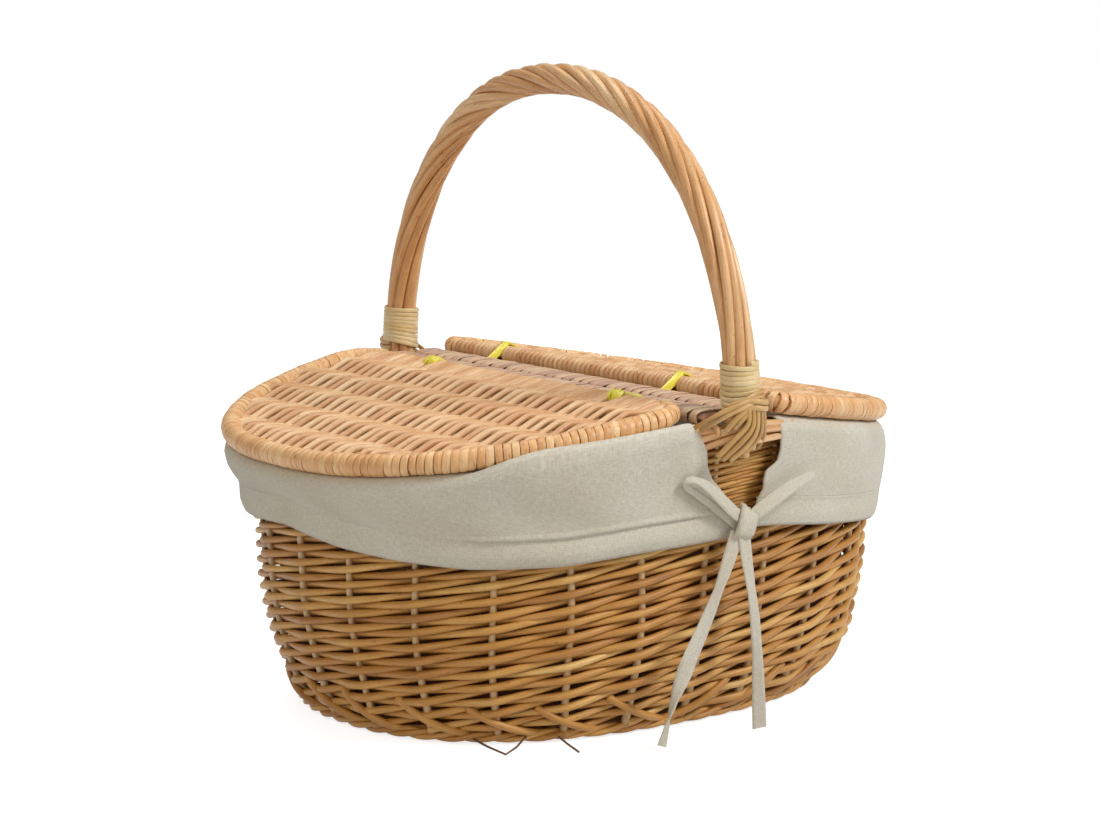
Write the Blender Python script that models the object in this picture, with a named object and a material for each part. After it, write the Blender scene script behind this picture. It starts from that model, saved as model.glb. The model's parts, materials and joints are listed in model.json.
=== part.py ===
"""Oval willow picnic basket with two flap lids, a roped carrying handle and a linen liner.

Metres, +Z up. The origin is the centre of the flat base. X runs along the length and Y along
the carrying bar. The basket looks the same after half a turn about Z, so each piece at the
front or on the left has its twin at the back or on the right.
"""

import bpy
import bmesh
import numpy as np
from math import acos, atan, copysign, cos, pi, sin
from mathutils import Matrix, Vector

# Fits
gap = 0.0003                    # between pieces that touch
hinge_gap = 0.0004              # between a lid's rail and the tie round it
swing_gap = 0.0008              # between a tie and the edges of its notch in the lid
wind_gap = 0.0005               # between neighbouring turns of a winding, at least

# Border, the rolled top edge of the basket
rim_half_length = 0.1935
rim_half_width = 0.1565
rim_height = 0.175              # top of the border at the handle
border_thickness = 0.011
outline_power = 2.35            # 2 gives an ellipse, more gives fuller corners

# Wall
stake_count = 24
stake_radius = 0.0023
stake_sides = 5
stake_end_share = 0.7           # how far into the border a stake's end runs
wall_thickness = 0.005
foot_inset = 0.037              # how far the wall's foot stands in from the border
upsett_height = 0.013
ground_gap = 0.0004             # the wall's lowest row stays just off the floor
top_inset = 0.0015              # inset of the wall's face where it meets the border
top_flare = 0.45                # the wall leans out no slower than this to meet the border
wall_shares = (                 # height as a share of rim_height, inset as a share of foot_inset
    (0.0, 1.0), (0.075, 0.80), (0.15, 0.64), (0.23, 0.505), (0.315, 0.41), (0.42, 0.335),
    (0.56, 0.31), (0.66, 0.27), (0.75, 0.19), (0.86, 0.095), (1.0, 0.04),
)
wall_level_shares = (0.0, 0.08, 0.18, 0.32, 0.58, 0.74, 0.88, 1.0)
course_count = 12               # courses of the weave that swell where they cross a stake
course_depth = 0.0030           # hollows between the swellings, in from the outer face

# Base
base_thickness = 0.009
base_ease = 0.002               # rounding of the base's edges

# Liner
cloth_thickness = 0.0012
bag_corner = 0.006
seam_gap = 0.0009               # between the bag's edge and the flaps sewn to it
hem_drop = 0.067                # from the border's top down to the flaps' hem
hem_ease = 0.0014               # cloth stands this far off the wall at its hem
rim_ease = 0.0010               # and this far off the border's outer side
fold_depth = 0.0016
fold_count = 5
fold_lean = 3                   # radians that a fold drifts from hem to border
edge_clear_share = 0.15         # of the step between two points of the outline
front_v_left = -0.027           # the flaps' top corners either side of the front handle foot
front_v_right = 0.033
knot_x = 0.011
knot_rise = 0.012               # the knot's middle above the hem
knot_share = 0.29               # the knot covers this share of the flap above its hem
skirt_shares = (                # height as a share of hem to border, standing out likewise
    (0.0, 0.0), (0.12, 0.19), (0.27, 0.22), (0.42, 0.5), (0.6, 0.74), (0.8, 0.9), (1.0, 1.0),
)
left_edge_shares = ((0.0, 0.0), (0.3, 0.0), (0.49, 0.34), (0.74, 0.75), (1.0, 1.0))
right_edge_shares = ((0.0, 0.0), (0.3, 0.0), (0.49, 0.62), (0.74, 0.97), (1.0, 1.0))

# Lids
lid_crown = 0.021               # from the border to where the lids' top planes would meet
lid_fall = 0.169                # drop of a lid for each unit outward
lid_overhang = 0.005
lid_power = 2.35
lid_edge = 0.0125               # the wrapped edge's thickness
lid_corner = 0.020
hinge_x = 0.0315
lid_seat = 0.0006
panel_thickness = 0.005
panel_rise = 0.0045             # top of the woven panel above the edge's middle
rib_count = 5
rib_radius = 0.0022
rib_start_share = 0.8           # first rib from the hinge, as a share of the ribs' spacing
lid_arc_steps = 26
panel_course_count = 12         # courses of the panel that rise and dip over the ribs
panel_depth = 0.0030            # its hollows, down from its top

# Carrying bar: two sticks side by side, each wound with flat skeins
bar_half_width = 0.0215
bar_thickness = 0.009
skein_thickness = 0.0012
skein_turns = 16
skein_points = 8

# Handle
bow_radius = 0.005
handle_rise = 0.171             # centre of the arch's top above its springing
spring_clear = 0.002            # the arch springs this far above the bar
rope_foot_clear = 0.0015
bow_foot_drop = 0.017           # the bow's ends run this far below the border's top
handle_side_power = 2.15
handle_top_power = 1.96
rope_radius = 0.0095
rope_top_radius = 0.0090
rope_wall_gap = 0.0003
arch_steps = 30

# Cane binding and cross lashing at each handle foot
binding_radius = 0.00100
binding_turns = 8
binding_points = 12
binding_height = 0.024
lash_width = 0.006
lash_thickness = 0.0018
lash_reach = 0.0135
lash_low = 0.0110
lash_layer_gap = 0.0012         # between the two strips where they cross
lash_lead_share = 0.1
lash_turn_shares = ((-0.83, 0.68), (0.0, 1.06), (0.8, 0.62))    # across and out from the leg

# Yellow hinge ties
tie_y = 0.090
tie_width = 0.006
tie_thickness = 0.0010

# Ribbons
ribbon_width = 0.011
ribbon_thickness = 0.0018
knot_size = 0.013
knot_depth = 0.008
knot_round_share = 0.33
knot_tuck = 0.004               # run of each ribbon straight out of the knot
left_loop_reach = 0.044
left_loop_rise = 0.024
right_loop_reach = 0.046
right_loop_rise = 0.021
loop_thickness = 0.0040
loop_middle_share = 0.55        # of the loop's rise, at half its reach
tail_shares = ((0.3, 0.35), (0.65, 0.68))       # of a tail's sideways run and of its drop
left_tail_end_x = -0.053
left_tail_end_height = 0.007
right_tail_end_x = 0.018
right_tail_end_height = 0.003


# Levels that follow from the sizes above

lid_peak = rim_height + lid_crown
hem_height = rim_height - hem_drop
knot_height = hem_height + knot_rise
spring_height = rim_height + bar_thickness + spring_clear
rope_foot_height = rim_height + rope_foot_clear
bow_foot_height = rim_height - bow_foot_drop


# Outline and levels

def oval(half_length, half_width, angle, power=outline_power):
    """Point of the basket's outline: an ellipse with fuller corners."""
    c, s = cos(angle), sin(angle)
    return (half_length * copysign(abs(c) ** (2 / power), c),
            half_width * copysign(abs(s) ** (2 / power), s))


def even_angles(count, half_length, half_width):
    """Angles that divide the outline into even lengths, from the front middle round."""
    fine = np.linspace(-pi / 2, 1.5 * pi, 4001)
    points = np.array([oval(half_length, half_width, a) for a in fine])
    steps = np.hypot(*np.diff(points, axis=0).T)
    along = np.concatenate([[0], np.cumsum(steps)])
    return np.interp(np.arange(count) * along[-1] / count, along, fine)


round_angles = even_angles(2 * stake_count, rim_half_length, rim_half_width)
lid_slope = atan(lid_fall)


def read(shares, at):
    """Value of a table of shares, straight between its rows."""
    places, values = zip(*shares)
    return float(np.interp(at, places, values))


def rim_top(x):
    """Height of the border's top: level at the handle, then falling with the lids."""
    under_lid = lid_peak - lid_edge / cos(lid_slope) - lid_seat - cloth_thickness - gap
    return min(rim_height, under_lid - lid_fall * abs(x))


def rim_middle(x):
    return rim_top(x) - border_thickness / 2


def around(angle, outset, z):
    """Point at an outset from the border's outline, with its height."""
    x, y = oval(rim_half_length + outset, rim_half_width + outset, angle)
    return Vector((x, y, z))


def border_x(angle):
    return around(angle, -border_thickness / 2, 0).x


def foot_outset(z):
    """Outer face of the upsett, where the wall starts."""
    return -foot_inset * read(wall_shares, z / rim_height)


def wall_levels(angle):
    """Outer face of the wall, as outsets and heights from the upsett to the border. Where
    the border is low, at the ends, the wall still leans out to meet it."""
    low = upsett_height + gap
    high = rim_top(border_x(angle)) - border_thickness - gap
    levels = []
    for share in wall_level_shares:
        z = low + (high - low) * share
        below = rim_middle(border_x(angle)) - z
        levels.append((max(foot_outset(z), -top_inset - top_flare * below), z))
    return levels


def wall_outset(z, angle):
    """Outer face of the wall at any height."""
    outsets, heights = zip(*wall_levels(angle))
    return float(np.interp(z, heights, outsets))


# Mesh helpers

def finish(name, bm, colour, roughness, parent=None, sharp=0.6):
    """Turns a bmesh into a named object with a material of its own."""
    bmesh.ops.recalc_face_normals(bm, faces=bm.faces)
    mesh = bpy.data.meshes.new(name)
    bm.to_mesh(mesh)
    bm.free()
    mesh.shade_smooth()
    mesh.set_sharp_from_angle(angle=sharp)
    material = bpy.data.materials.new(name + "_finish")
    material.use_nodes = True
    shader = material.node_tree.nodes["Principled BSDF"]
    shader.inputs["Base Color"].default_value = (*colour, 1)
    shader.inputs["Roughness"].default_value = roughness
    mesh.materials.append(material)
    piece = bpy.data.objects.new(name, mesh)
    bpy.context.scene.collection.objects.link(piece)
    piece.parent = parent
    return piece


def loft(bm, rings, closed=False, wrap=False):
    """Skins rings of equal count. closed joins the last ring to the first, wrap closes each
    ring on itself; ends that stay open are capped."""
    loops = [[bm.verts.new(point) for point in ring] for ring in rings]
    count = len(loops[0])
    spans = count if wrap else count - 1
    pairs = list(zip(loops, loops[1:] + loops[:1] if closed else loops[1:]))
    for one, two in pairs:
        for i in range(spans):
            j = (i + 1) % count
            bm.faces.new((one[i], one[j], two[j], two[i]))
    if wrap and not closed:
        bm.faces.new(loops[0][::-1])
        bm.faces.new(loops[-1])
    return loops


def sheet_solid(bm, inner, outer):
    """Closed thin solid between two grids of points, rows by columns."""
    rings = []
    for row_in, row_out in zip(inner, outer):
        rings.append(list(row_in) + list(row_out)[::-1])
    loft(bm, rings, wrap=True)


def band(name, section, colour, roughness):
    """Closed band round the basket. section gives (outset, height) points for an angle."""
    bm = bmesh.new()
    rings = []
    for angle in round_angles:
        rings.append([around(angle, e, z) for e, z in section(angle)])
    loft(bm, rings, closed=True, wrap=True)
    return finish(name, bm, colour, roughness)


def sweep(bm, path, sides, radius_x, radius_z=None, first_normal=None, closed=False):
    """Round or oval tube along a path; a normal carried along keeps it from twisting."""
    radius_z = radius_z or radius_x
    count = len(path)
    normal = first_normal.copy()
    rings = []
    for i, point in enumerate(path):
        before = path[i - 1] if i or closed else path[i]
        after = path[(i + 1) % count] if i < count - 1 or closed else path[i]
        tangent = (after - before).normalized()
        normal = (normal - tangent * normal.dot(tangent)).normalized()
        side = tangent.cross(normal)
        radius = radius_x(i / (count - 1)) if callable(radius_x) else radius_x
        deep = radius if callable(radius_x) else radius_z
        ring = []
        for k in range(sides):
            turn = 2 * pi * k / sides
            ring.append(point + normal * deep * cos(turn) + side * radius * sin(turn))
        rings.append(ring)
    return loft(bm, rings, closed=closed, wrap=True)


def strip(name, rings, colour, roughness):
    """Flat strip that bends and twists, as triangles, because its sides aren't flat."""
    bm = bmesh.new()
    loft(bm, rings, wrap=True)
    bmesh.ops.triangulate(bm, faces=bm.faces)
    return finish(name, bm, colour, roughness)


def join(piece, other):
    """Boolean union of a piece with a guide object that is then hidden."""
    union = piece.modifiers.new("join", "BOOLEAN")
    union.operation = "UNION"
    union.solver = "EXACT"
    union.object = other
    other.hide_render = True
    other.display_type = "WIRE"


def half_turn(name, twin, colour, roughness, parent=None):
    """Twin of a piece after half a turn about Z, with the same mesh shape."""
    bm = bmesh.new()
    bm.from_mesh(twin.data)
    bmesh.ops.rotate(bm, verts=bm.verts, cent=(0, 0, 0), matrix=Matrix.Rotation(pi, 3, "Z"))
    return finish(name, bm, colour, roughness, parent)


def smooth_path(points, count):
    """Even-stepped smooth curve through a few hand-placed points."""
    knots = [Vector(p) for p in points]
    knots = [2 * knots[0] - knots[1]] + knots + [2 * knots[-1] - knots[-2]]
    path = []
    for i in range(1, len(knots) - 2):
        p0, p1, p2, p3 = knots[i - 1:i + 3]
        for step in range(8):
            t = step / 8
            path.append(0.5 * (2 * p1 + (p2 - p0) * t + (2 * p0 - 5 * p1 + 4 * p2 - p3) * t ** 2
                               + (3 * p1 - p0 - 3 * p2 + p3) * t ** 3))
    path.append(knots[-2])
    run = [0]
    for one, two in zip(path, path[1:]):
        run.append(run[-1] + (two - one).length)
    even = []
    for at in np.linspace(0, run[-1], count):
        even.append(Vector([float(np.interp(at, run, [p[k] for p in path])) for k in range(3)]))
    return even


# Basket body

willow = (0.62, 0.36, 0.15)
pale_willow = (0.70, 0.50, 0.28)
linen = (0.66, 0.63, 0.56)


def build_base():
    bm = bmesh.new()
    edge = -foot_inset - wall_thickness - gap
    levels = ((edge - base_ease, 0), (edge, base_ease), (edge, base_thickness - base_ease),
              (edge - base_ease, base_thickness))
    rings = []
    for outset, z in levels:
        rings.append([around(angle, outset, z) for angle in round_angles])
    loft(bm, rings, wrap=True)
    finish("base_weave", bm, willow, 0.6)


def upsett_inner():
    return -foot_inset - wall_thickness


def build_upsett():
    """Waled band that turns the stakes up: it goes round the base's edge."""
    def section(angle):
        middle = upsett_height / 2
        return ((upsett_inner(), ground_gap), (foot_outset(0), ground_gap),
                (foot_outset(middle), middle), (foot_outset(upsett_height), upsett_height),
                (upsett_inner(), upsett_height))
    band("upsett_wale", section, willow, 0.6)


def hollow_share(column, course, last):
    """How deep the weave dips at a column and a course: at every other stake a course passes
    outside, and the next course takes the stakes between."""
    if course in (0, last):
        return 0
    at_stake = column % 2 == 0
    return (column // 2 + course) % 2 if at_stake else 0.5


def build_wall():
    """Randed side of the basket, from the upsett to the border."""
    bm = bmesh.new()
    rings = []
    for column, angle in enumerate(round_angles):
        levels = wall_levels(angle)
        heights = np.linspace(levels[0][1], levels[-1][1], course_count + 1)
        ring = []
        for course, z in enumerate(heights):
            dip = course_depth * hollow_share(column, course, course_count)
            ring.append(around(angle, wall_outset(z, angle) - dip, z))
        ring += [around(angle, e - wall_thickness, z) for e, z in reversed(levels)]
        rings.append(ring)
    loft(bm, rings, closed=True, wrap=True)
    bmesh.ops.triangulate(bm, faces=bm.faces)
    finish("side_weave", bm, willow, 0.6)


def add_stakes(bm):
    """Upright stakes inside the weave. They stand on the upsett, and their tops roll over
    into the border."""
    for angle in round_angles[::2]:
        outward = (around(angle, stake_radius, 0) - around(angle, 0, 0)).normalized()
        along = Vector((-outward.y, outward.x, 0))
        path = []
        for outset, z in wall_levels(angle):
            face = outset - wall_thickness - gap
            path.append(around(angle, face, z) - outward * stake_radius)
        path.pop(1)
        path[-1].z += stake_radius / 2
        path.append(around(angle, -border_thickness * stake_end_share,
                           rim_middle(border_x(angle))))
        rings = []
        for point in path:
            ring = []
            for k in range(stake_sides):
                turn = 2 * pi * k / stake_sides
                ring.append(point + outward * stake_radius * cos(turn)
                            + along * stake_radius * sin(turn))
            rings.append(ring)
        loft(bm, rings, wrap=True)


def border_section(angle, radius, turns):
    """Points round the border's middle, by turn from straight out to straight in."""
    points = []
    for turn in turns:
        points.append((-border_thickness / 2 + radius * cos(turn),
                       rim_middle(border_x(angle)) + radius * sin(turn)))
    return points


def build_border():
    """The stakes and the rolled border that their ends make, as one body."""
    turns = [pi / 4 * k for k in range(8)]
    border = band("stakes_and_border",
                  lambda angle: border_section(angle, border_thickness / 2, turns), willow, 0.6)
    bm = bmesh.new()
    add_stakes(bm)
    stakes = finish("stakes_guide", bm, pale_willow, 0.6)
    join(border, stakes)


# Liner

def bag_section(angle):
    """Outer face of the liner: over the base, up inside the stakes, to the border's top."""
    floor = base_thickness + gap
    inside_stakes = wall_thickness + 2 * gap + 2 * stake_radius
    inside_upsett = upsett_inner() - gap
    levels = [(e - inside_stakes, z) for e, z in wall_levels(angle)]
    levels[0] = (min(levels[0][0], inside_upsett), levels[0][1])
    levels.pop(1)
    middle = rim_middle(border_x(angle))
    return ([(levels[0][0] - bag_corner, floor)] + levels
            + [(levels[-1][0], levels[-1][1] + stake_radius),
               (-border_thickness - gap, middle - seam_gap)])


def build_bag():
    bm = bmesh.new()
    outer, inner = [], []
    for angle in round_angles[1::2]:
        section = bag_section(angle)
        outer.append([around(angle, e, z) for e, z in section])
        lifted = [(section[0][0], section[0][1] + cloth_thickness)]
        lifted += [(e - cloth_thickness, z) for e, z in section[1:]]
        inner.append([around(angle, e, z) for e, z in lifted])
    rings = list(zip(*outer)) + list(zip(*inner))[::-1]
    loft(bm, rings, wrap=True)
    finish("liner_bag", bm, linen, 0.9)


def edge_angle(x, back=False):
    """Angle on the outline where x is reached, on the front or the back side."""
    ratio = copysign(abs(x / rim_half_length) ** (outline_power / 2), x)
    return acos(ratio) - 2 * pi if back else -acos(ratio)


def build_flap():
    """Left flap of the liner: over the border from the bag's edge, down outside to its hem,
    with a drawn-in hem band and soft folds. Its front and back edges run from the handle
    feet to the ribbons' knots."""
    apart = gap
    corner_low = max(edge_angle(front_v_right, True), edge_angle(-front_v_right, True))
    inside = [a for a in round_angles - 2 * pi if a > corner_low]
    inside += [a for a in round_angles if a < edge_angle(front_v_left)]
    clear = edge_clear_share * (round_angles[1] - round_angles[0])
    first, last = edge_angle(front_v_left) - clear, corner_low + clear
    inside = sorted((a for a in inside if last < a < first), reverse=True)
    over = [pi / 4 * k for k in range(5)]
    inner_rows, outer_rows = [], []
    for share, stand in skirt_shares:
        front_x = knot_x - apart + (front_v_left - knot_x) * read(left_edge_shares, share)
        back_x = -knot_x - apart - (front_v_right - knot_x) * read(right_edge_shares, share)
        angles = [edge_angle(front_x)] + inside + [edge_angle(back_x, True)]
        inner, outer = [], []
        for i, angle in enumerate(angles):
            z = hem_height + (rim_middle(border_x(angle)) - hem_height) * share
            low = wall_outset(hem_height, angle) + hem_ease
            outset = low + (rim_ease - low) * stand
            part = i / (len(angles) - 1)
            wave = 1 + sin(2 * pi * fold_count * part + fold_lean * share)
            outset += fold_depth * wave * sin(pi * share) * sin(pi * part)
            if share == 1:
                outset = gap
            inner.append(around(angle, outset, z))
            outer.append(around(angle, outset + cloth_thickness, z))
        inner_rows.append(inner)
        outer_rows.append(outer)
    angles = [edge_angle(front_v_left)] + inside + [edge_angle(-front_v_right, True)]
    for turn in over[1:]:
        inner, outer = [], []
        for angle in angles:
            for row, radius in ((inner, gap), (outer, gap + cloth_thickness)):
                points = border_section(angle, border_thickness / 2 + radius, (turn,))
                row.append(around(angle, *points[0]))
        inner_rows.append(inner)
        outer_rows.append(outer)
    bm = bmesh.new()
    sheet_solid(bm, inner_rows, outer_rows)
    flap = finish("liner_flap_left", bm, linen, 0.9)
    half_turn("liner_flap_right", flap, linen, 0.9)


# Handle

leg_y = rim_half_width + gap + bow_radius


def arch_path(foot, steps):
    """Centre line of the handle from the front foot over the top to the back foot."""
    path = [Vector((0, -leg_y, foot))]
    for i in range(steps + 1):
        angle = pi * i / steps
        c, s = cos(angle), sin(angle)
        path.append(Vector((0, -leg_y * copysign(abs(c) ** (2 / handle_side_power), c),
                            spring_height + handle_rise * abs(s) ** (2 / handle_top_power))))
    path.append(Vector((0, leg_y, foot)))
    return path


def build_handle():
    across = Vector((1, 0, 0))
    bm = bmesh.new()
    sweep(bm, arch_path(bow_foot_height, arch_steps), 8, bow_radius, first_normal=across)
    finish("handle_bow", bm, pale_willow, 0.6)

    def outer_radius(share):
        return rope_radius + (rope_top_radius - rope_radius) * sin(pi * share)

    path = arch_path(rope_foot_height, arch_steps)
    sides = 8
    rings = []
    for radius in (outer_radius, lambda share: (bow_radius + rope_wall_gap)):
        part = bmesh.new()
        loops = sweep(part, path, sides, radius, first_normal=across)
        rings.append([[v.co.copy() for v in loop] for loop in loops])
        part.free()
    bm = bmesh.new()
    outer, bore = rings
    tube = outer + bore[::-1]
    loft(bm, tube, closed=True, wrap=True)
    finish("handle_roping", bm, (0.68, 0.42, 0.20), 0.5)


def arch_frame(distance):
    """Point and direction of the front leg's centre line, by length above the springing."""
    path = arch_path(spring_height, 4 * arch_steps)[1:2 * arch_steps]
    run = 0
    for one, two in zip(path, path[1:]):
        step = (two - one).length
        if run + step >= distance:
            share = (distance - run) / step
            return one.lerp(two, share), (two - one).normalized()
        run += step
    return path[-1], (path[-1] - path[-2]).normalized()


def print_turn_gap(name, rings, per_turn):
    """Least distance between the points of a winding and those of its next turn."""
    least = rim_half_length
    for one, two in zip(rings, rings[per_turn:]):
        least = min(least, min((p - q).length for p in one for q in two))
    print(name, "least turn gap mm", round(1000 * least, 2))


def build_bindings():
    """Cane wound round each foot of the handle, one unbroken length."""
    bm = bmesh.new()
    pitch = (binding_height - 2 * binding_radius) / binding_turns
    radius = (rope_radius + gap + binding_radius) / cos(pi / binding_points)
    path = []
    for i in range(binding_turns * binding_points + 1):
        point, along = arch_frame(binding_radius + pitch * i / binding_points)
        side = Vector((1, 0, 0))
        front = side.cross(along)
        turn = 2 * pi * i / binding_points
        path.append(point + radius * (side * cos(turn) + front * sin(turn)))
    loops = sweep(bm, path, 5, binding_radius, first_normal=Vector((1, 0, 0)))
    print_turn_gap("handle binding", [[v.co for v in loop] for loop in loops], binding_points)
    cane = (0.72, 0.62, 0.34)
    front = finish("handle_binding_front", bm, cane, 0.45)
    half_turn("handle_binding_back", front, cane, 0.45)


def build_lashings():
    """Two cane strips that cross over each handle foot, from the bar to under the border."""
    cane = (0.70, 0.56, 0.30)
    half = lash_thickness / 2
    bar_top = rim_height + gap + bar_thickness
    bar_end = leg_y - rope_radius - gap
    low = rim_height - border_thickness
    over = lash_thickness + lash_layer_gap
    for tag, side, layer in (("under", 1, 0), ("over", -1, over)):
        hold = rope_radius + gap + half + layer
        reach = lash_reach + layer
        points = [
            (-side * reach, -bar_end + lash_width, bar_top + gap + half),
            (-side * reach, -bar_end - half, bar_top),
            (-side * reach, -leg_y + lash_lead_share * hold, bar_top - lash_thickness),
        ]
        heights = (rope_foot_height + half, rope_foot_height - half, low + border_thickness / 2)
        for (across, out), z in zip(lash_turn_shares, heights):
            points.append((side * across * hold, -leg_y - out * hold, z))
        points.append((side * (lash_low + layer), -rim_half_width - 2 * gap - half - layer, low))
        path = smooth_path(points, 12)
        rings = []
        for i, point in enumerate(path):
            tangent = (path[min(i + 1, 11)] - path[max(i - 1, 0)]).normalized()
            outward = Vector((point.x, point.y + leg_y, 0))
            if point.y > -bar_end - half:
                outward = Vector((0, 0, 1))
            outward = (outward - tangent * outward.dot(tangent)).normalized()
            across = tangent.cross(outward) * (lash_width / 2)
            deep = outward * half
            rings.append([point + across + deep, point + across - deep,
                          point - across - deep, point - across + deep])
        front = strip("foot_lashing_front_" + tag, rings, cane, 0.5)
        half_turn("foot_lashing_back_" + tag, front, cane, 0.5)


# Carrying bar

bar_slot = 2 * (tie_thickness + gap) + gap       # the ties pass between the two sticks
wound_half_width = (bar_half_width - bar_slot / 2) / 2       # of one stick with its skein
wound_half_depth = bar_thickness / 2


def build_bar():
    half_length = leg_y - rope_radius - 2 * gap
    ease = cos(pi / skein_points)
    stick_wide = wound_half_width * ease - skein_thickness - gap
    stick_deep = wound_half_depth * ease - skein_thickness - gap
    middle = Vector((-bar_slot / 2 - wound_half_width, 0, rim_height + gap + wound_half_depth))
    ends = [middle + Vector((0, -half_length, 0)), middle + Vector((0, half_length, 0))]
    bm = bmesh.new()
    sweep(bm, ends, 12, stick_wide, stick_deep, first_normal=Vector((0, 0, 1)))
    brown = (0.45, 0.30, 0.20)
    stick = finish("bar_stick_left", bm, brown, 0.6)
    half_turn("bar_stick_right", stick, brown, 0.6)

    pitch = 2 * half_length / (skein_turns + 1)
    skein_width = pitch - 2 * wind_gap
    inner_wide = (stick_wide + gap) / ease
    inner_deep = (stick_deep + gap) / ease
    rings = []
    for i in range(skein_turns * skein_points + 1):
        turn = 2 * pi * i / skein_points
        y = -half_length + skein_width / 2 + wind_gap + pitch * i / skein_points
        ring = []
        for thick, shift in ((0, -1), (1, -1), (1, 1), (0, 1)):
            a = inner_wide + thick * skein_thickness / ease
            c = inner_deep + thick * skein_thickness / ease
            ring.append(middle + Vector((a * cos(turn), y + shift * skein_width / 2,
                                         c * sin(turn))))
        rings.append(ring)
    print_turn_gap("bar skein", rings, skein_points)
    skein = (0.47, 0.33, 0.25)
    wrap = strip("bar_skein_left", rings, skein, 0.45)
    half_turn("bar_skein_right", wrap, skein, 0.45)


# Lids: built flat in their own frame, X outward from the hinge axis, Z out of the top

rail_radius = lid_edge / 2
hinge_z = lid_peak - lid_fall * hinge_x - rail_radius / cos(lid_slope)


def lid_outline():
    """Middle of the lid's wrapped edge: a straight rail, two round corners and the outer
    curve, as points in the lid's plane."""
    half_length = rim_half_length + lid_overhang
    half_width = rim_half_width + lid_overhang
    start = hinge_x + lid_corner
    first = acos((start / (half_length - rail_radius)) ** (lid_power / 2))
    arc = []
    for i in range(lid_arc_steps + 1):
        angle = -first + 2 * first * i / lid_arc_steps
        x, y = oval(half_length - rail_radius, half_width - rail_radius, angle, lid_power)
        arc.append(Vector(((x - hinge_x) / cos(lid_slope), y, 0)))
    y_end = arc[-1].y
    corner = Vector((0, y_end, 0))
    rail_end = Vector((0, y_end - lid_corner, 0))
    bend = []
    for i in range(1, 4):
        t = i / 4
        bend.append(arc[-1] * (1 - t) ** 2 + corner * 2 * t * (1 - t) + rail_end * t ** 2)
    other = [Vector((p.x, -p.y, 0)) for p in reversed(bend)]
    rail = [rail_end, Vector((0, 0, 0)), Vector((0, -rail_end.y, 0))]
    return arc + bend + rail + other


def inward(outline, distance):
    """Outline moved in by a distance, corner by corner."""
    count = len(outline)
    moved = []
    for i, point in enumerate(outline):
        before = (point - outline[i - 1]).normalized()
        after = (outline[(i + 1) % count] - point).normalized()
        normals = [Vector((-d.y, d.x, 0)) for d in (before, after)]
        middle = (normals[0] + normals[1]).normalized()
        moved.append(point + middle * distance / middle.dot(normals[0]))
    return moved


def notched(outline, depth):
    """Panel outline with a notch in its hinge side for each tie."""
    half = tie_width / 2 + swing_gap
    points = []
    for i, point in enumerate(outline):
        points.append(point)
        after = outline[(i + 1) % len(outline)]
        straight = abs(point.x - after.x) < gap / 10 and point.y > after.y
        if not straight:
            continue
        for y in (tie_y, -tie_y):
            if point.y > y + half and after.y < y - half:
                points += [Vector((point.x, y + half, 0)), Vector((depth, y + half, 0)),
                           Vector((depth, y - half, 0)), Vector((point.x, y - half, 0))]
    return points


def hinge_frame(name, turn):
    """Empty on the hinge axis, tipped to the lid's slope."""
    frame = bpy.data.objects.new(name, None)
    bpy.context.scene.collection.objects.link(frame)
    placed = Matrix.Rotation(turn, 4, "Z") @ Matrix.Translation((-hinge_x, 0, hinge_z))
    frame.matrix_world = placed @ Matrix.Rotation(-lid_slope, 4, "Y") @ Matrix.Rotation(pi, 4, "Z")
    return frame


def build_lid(side, turn):
    frame = hinge_frame("lid_hinge_" + side, turn)
    tan = (0.70, 0.42, 0.22)
    outline = lid_outline()
    rings = []
    inner = inward(outline, rail_radius)
    for point, edge in zip(outline, inner):
        across = point - edge
        ring = []
        for k in range(8):
            bend = pi / 4 * k
            ring.append(point + across * cos(bend) + Vector((0, 0, rail_radius * sin(bend))))
        rings.append(ring)
    bm = bmesh.new()
    loft(bm, rings, closed=True, wrap=True)
    finish("lid_edge_" + side, bm, tan, 0.55, frame)

    tie_outer = rail_radius + hinge_gap + tie_thickness
    flat = notched(inward(outline, rail_radius + gap), tie_outer + swing_gap)
    low = panel_rise - panel_thickness
    spacing = max(p.x for p in flat) / (rib_count - 1 + 2 * rib_start_share)
    rib_places = [spacing * (i + rib_start_share) for i in range(rib_count)]
    bm = bmesh.new()
    build_panel(bm, flat, rib_places)
    finish("lid_weave_" + side, bm, tan, 0.55, frame)

    for i, x in enumerate(rib_places):
        half = min(half_width(flat, x + rib_radius), half_width(flat, x - rib_radius)) - gap
        z = low - gap - rib_radius
        bm = bmesh.new()
        sweep(bm, [Vector((x, -half, z)), Vector((x, half, z))], 6, rib_radius,
              first_normal=Vector((0, 0, 1)))
        finish(f"lid_rib_{side}_{i + 1}", bm, pale_willow, 0.6, frame)


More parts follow.
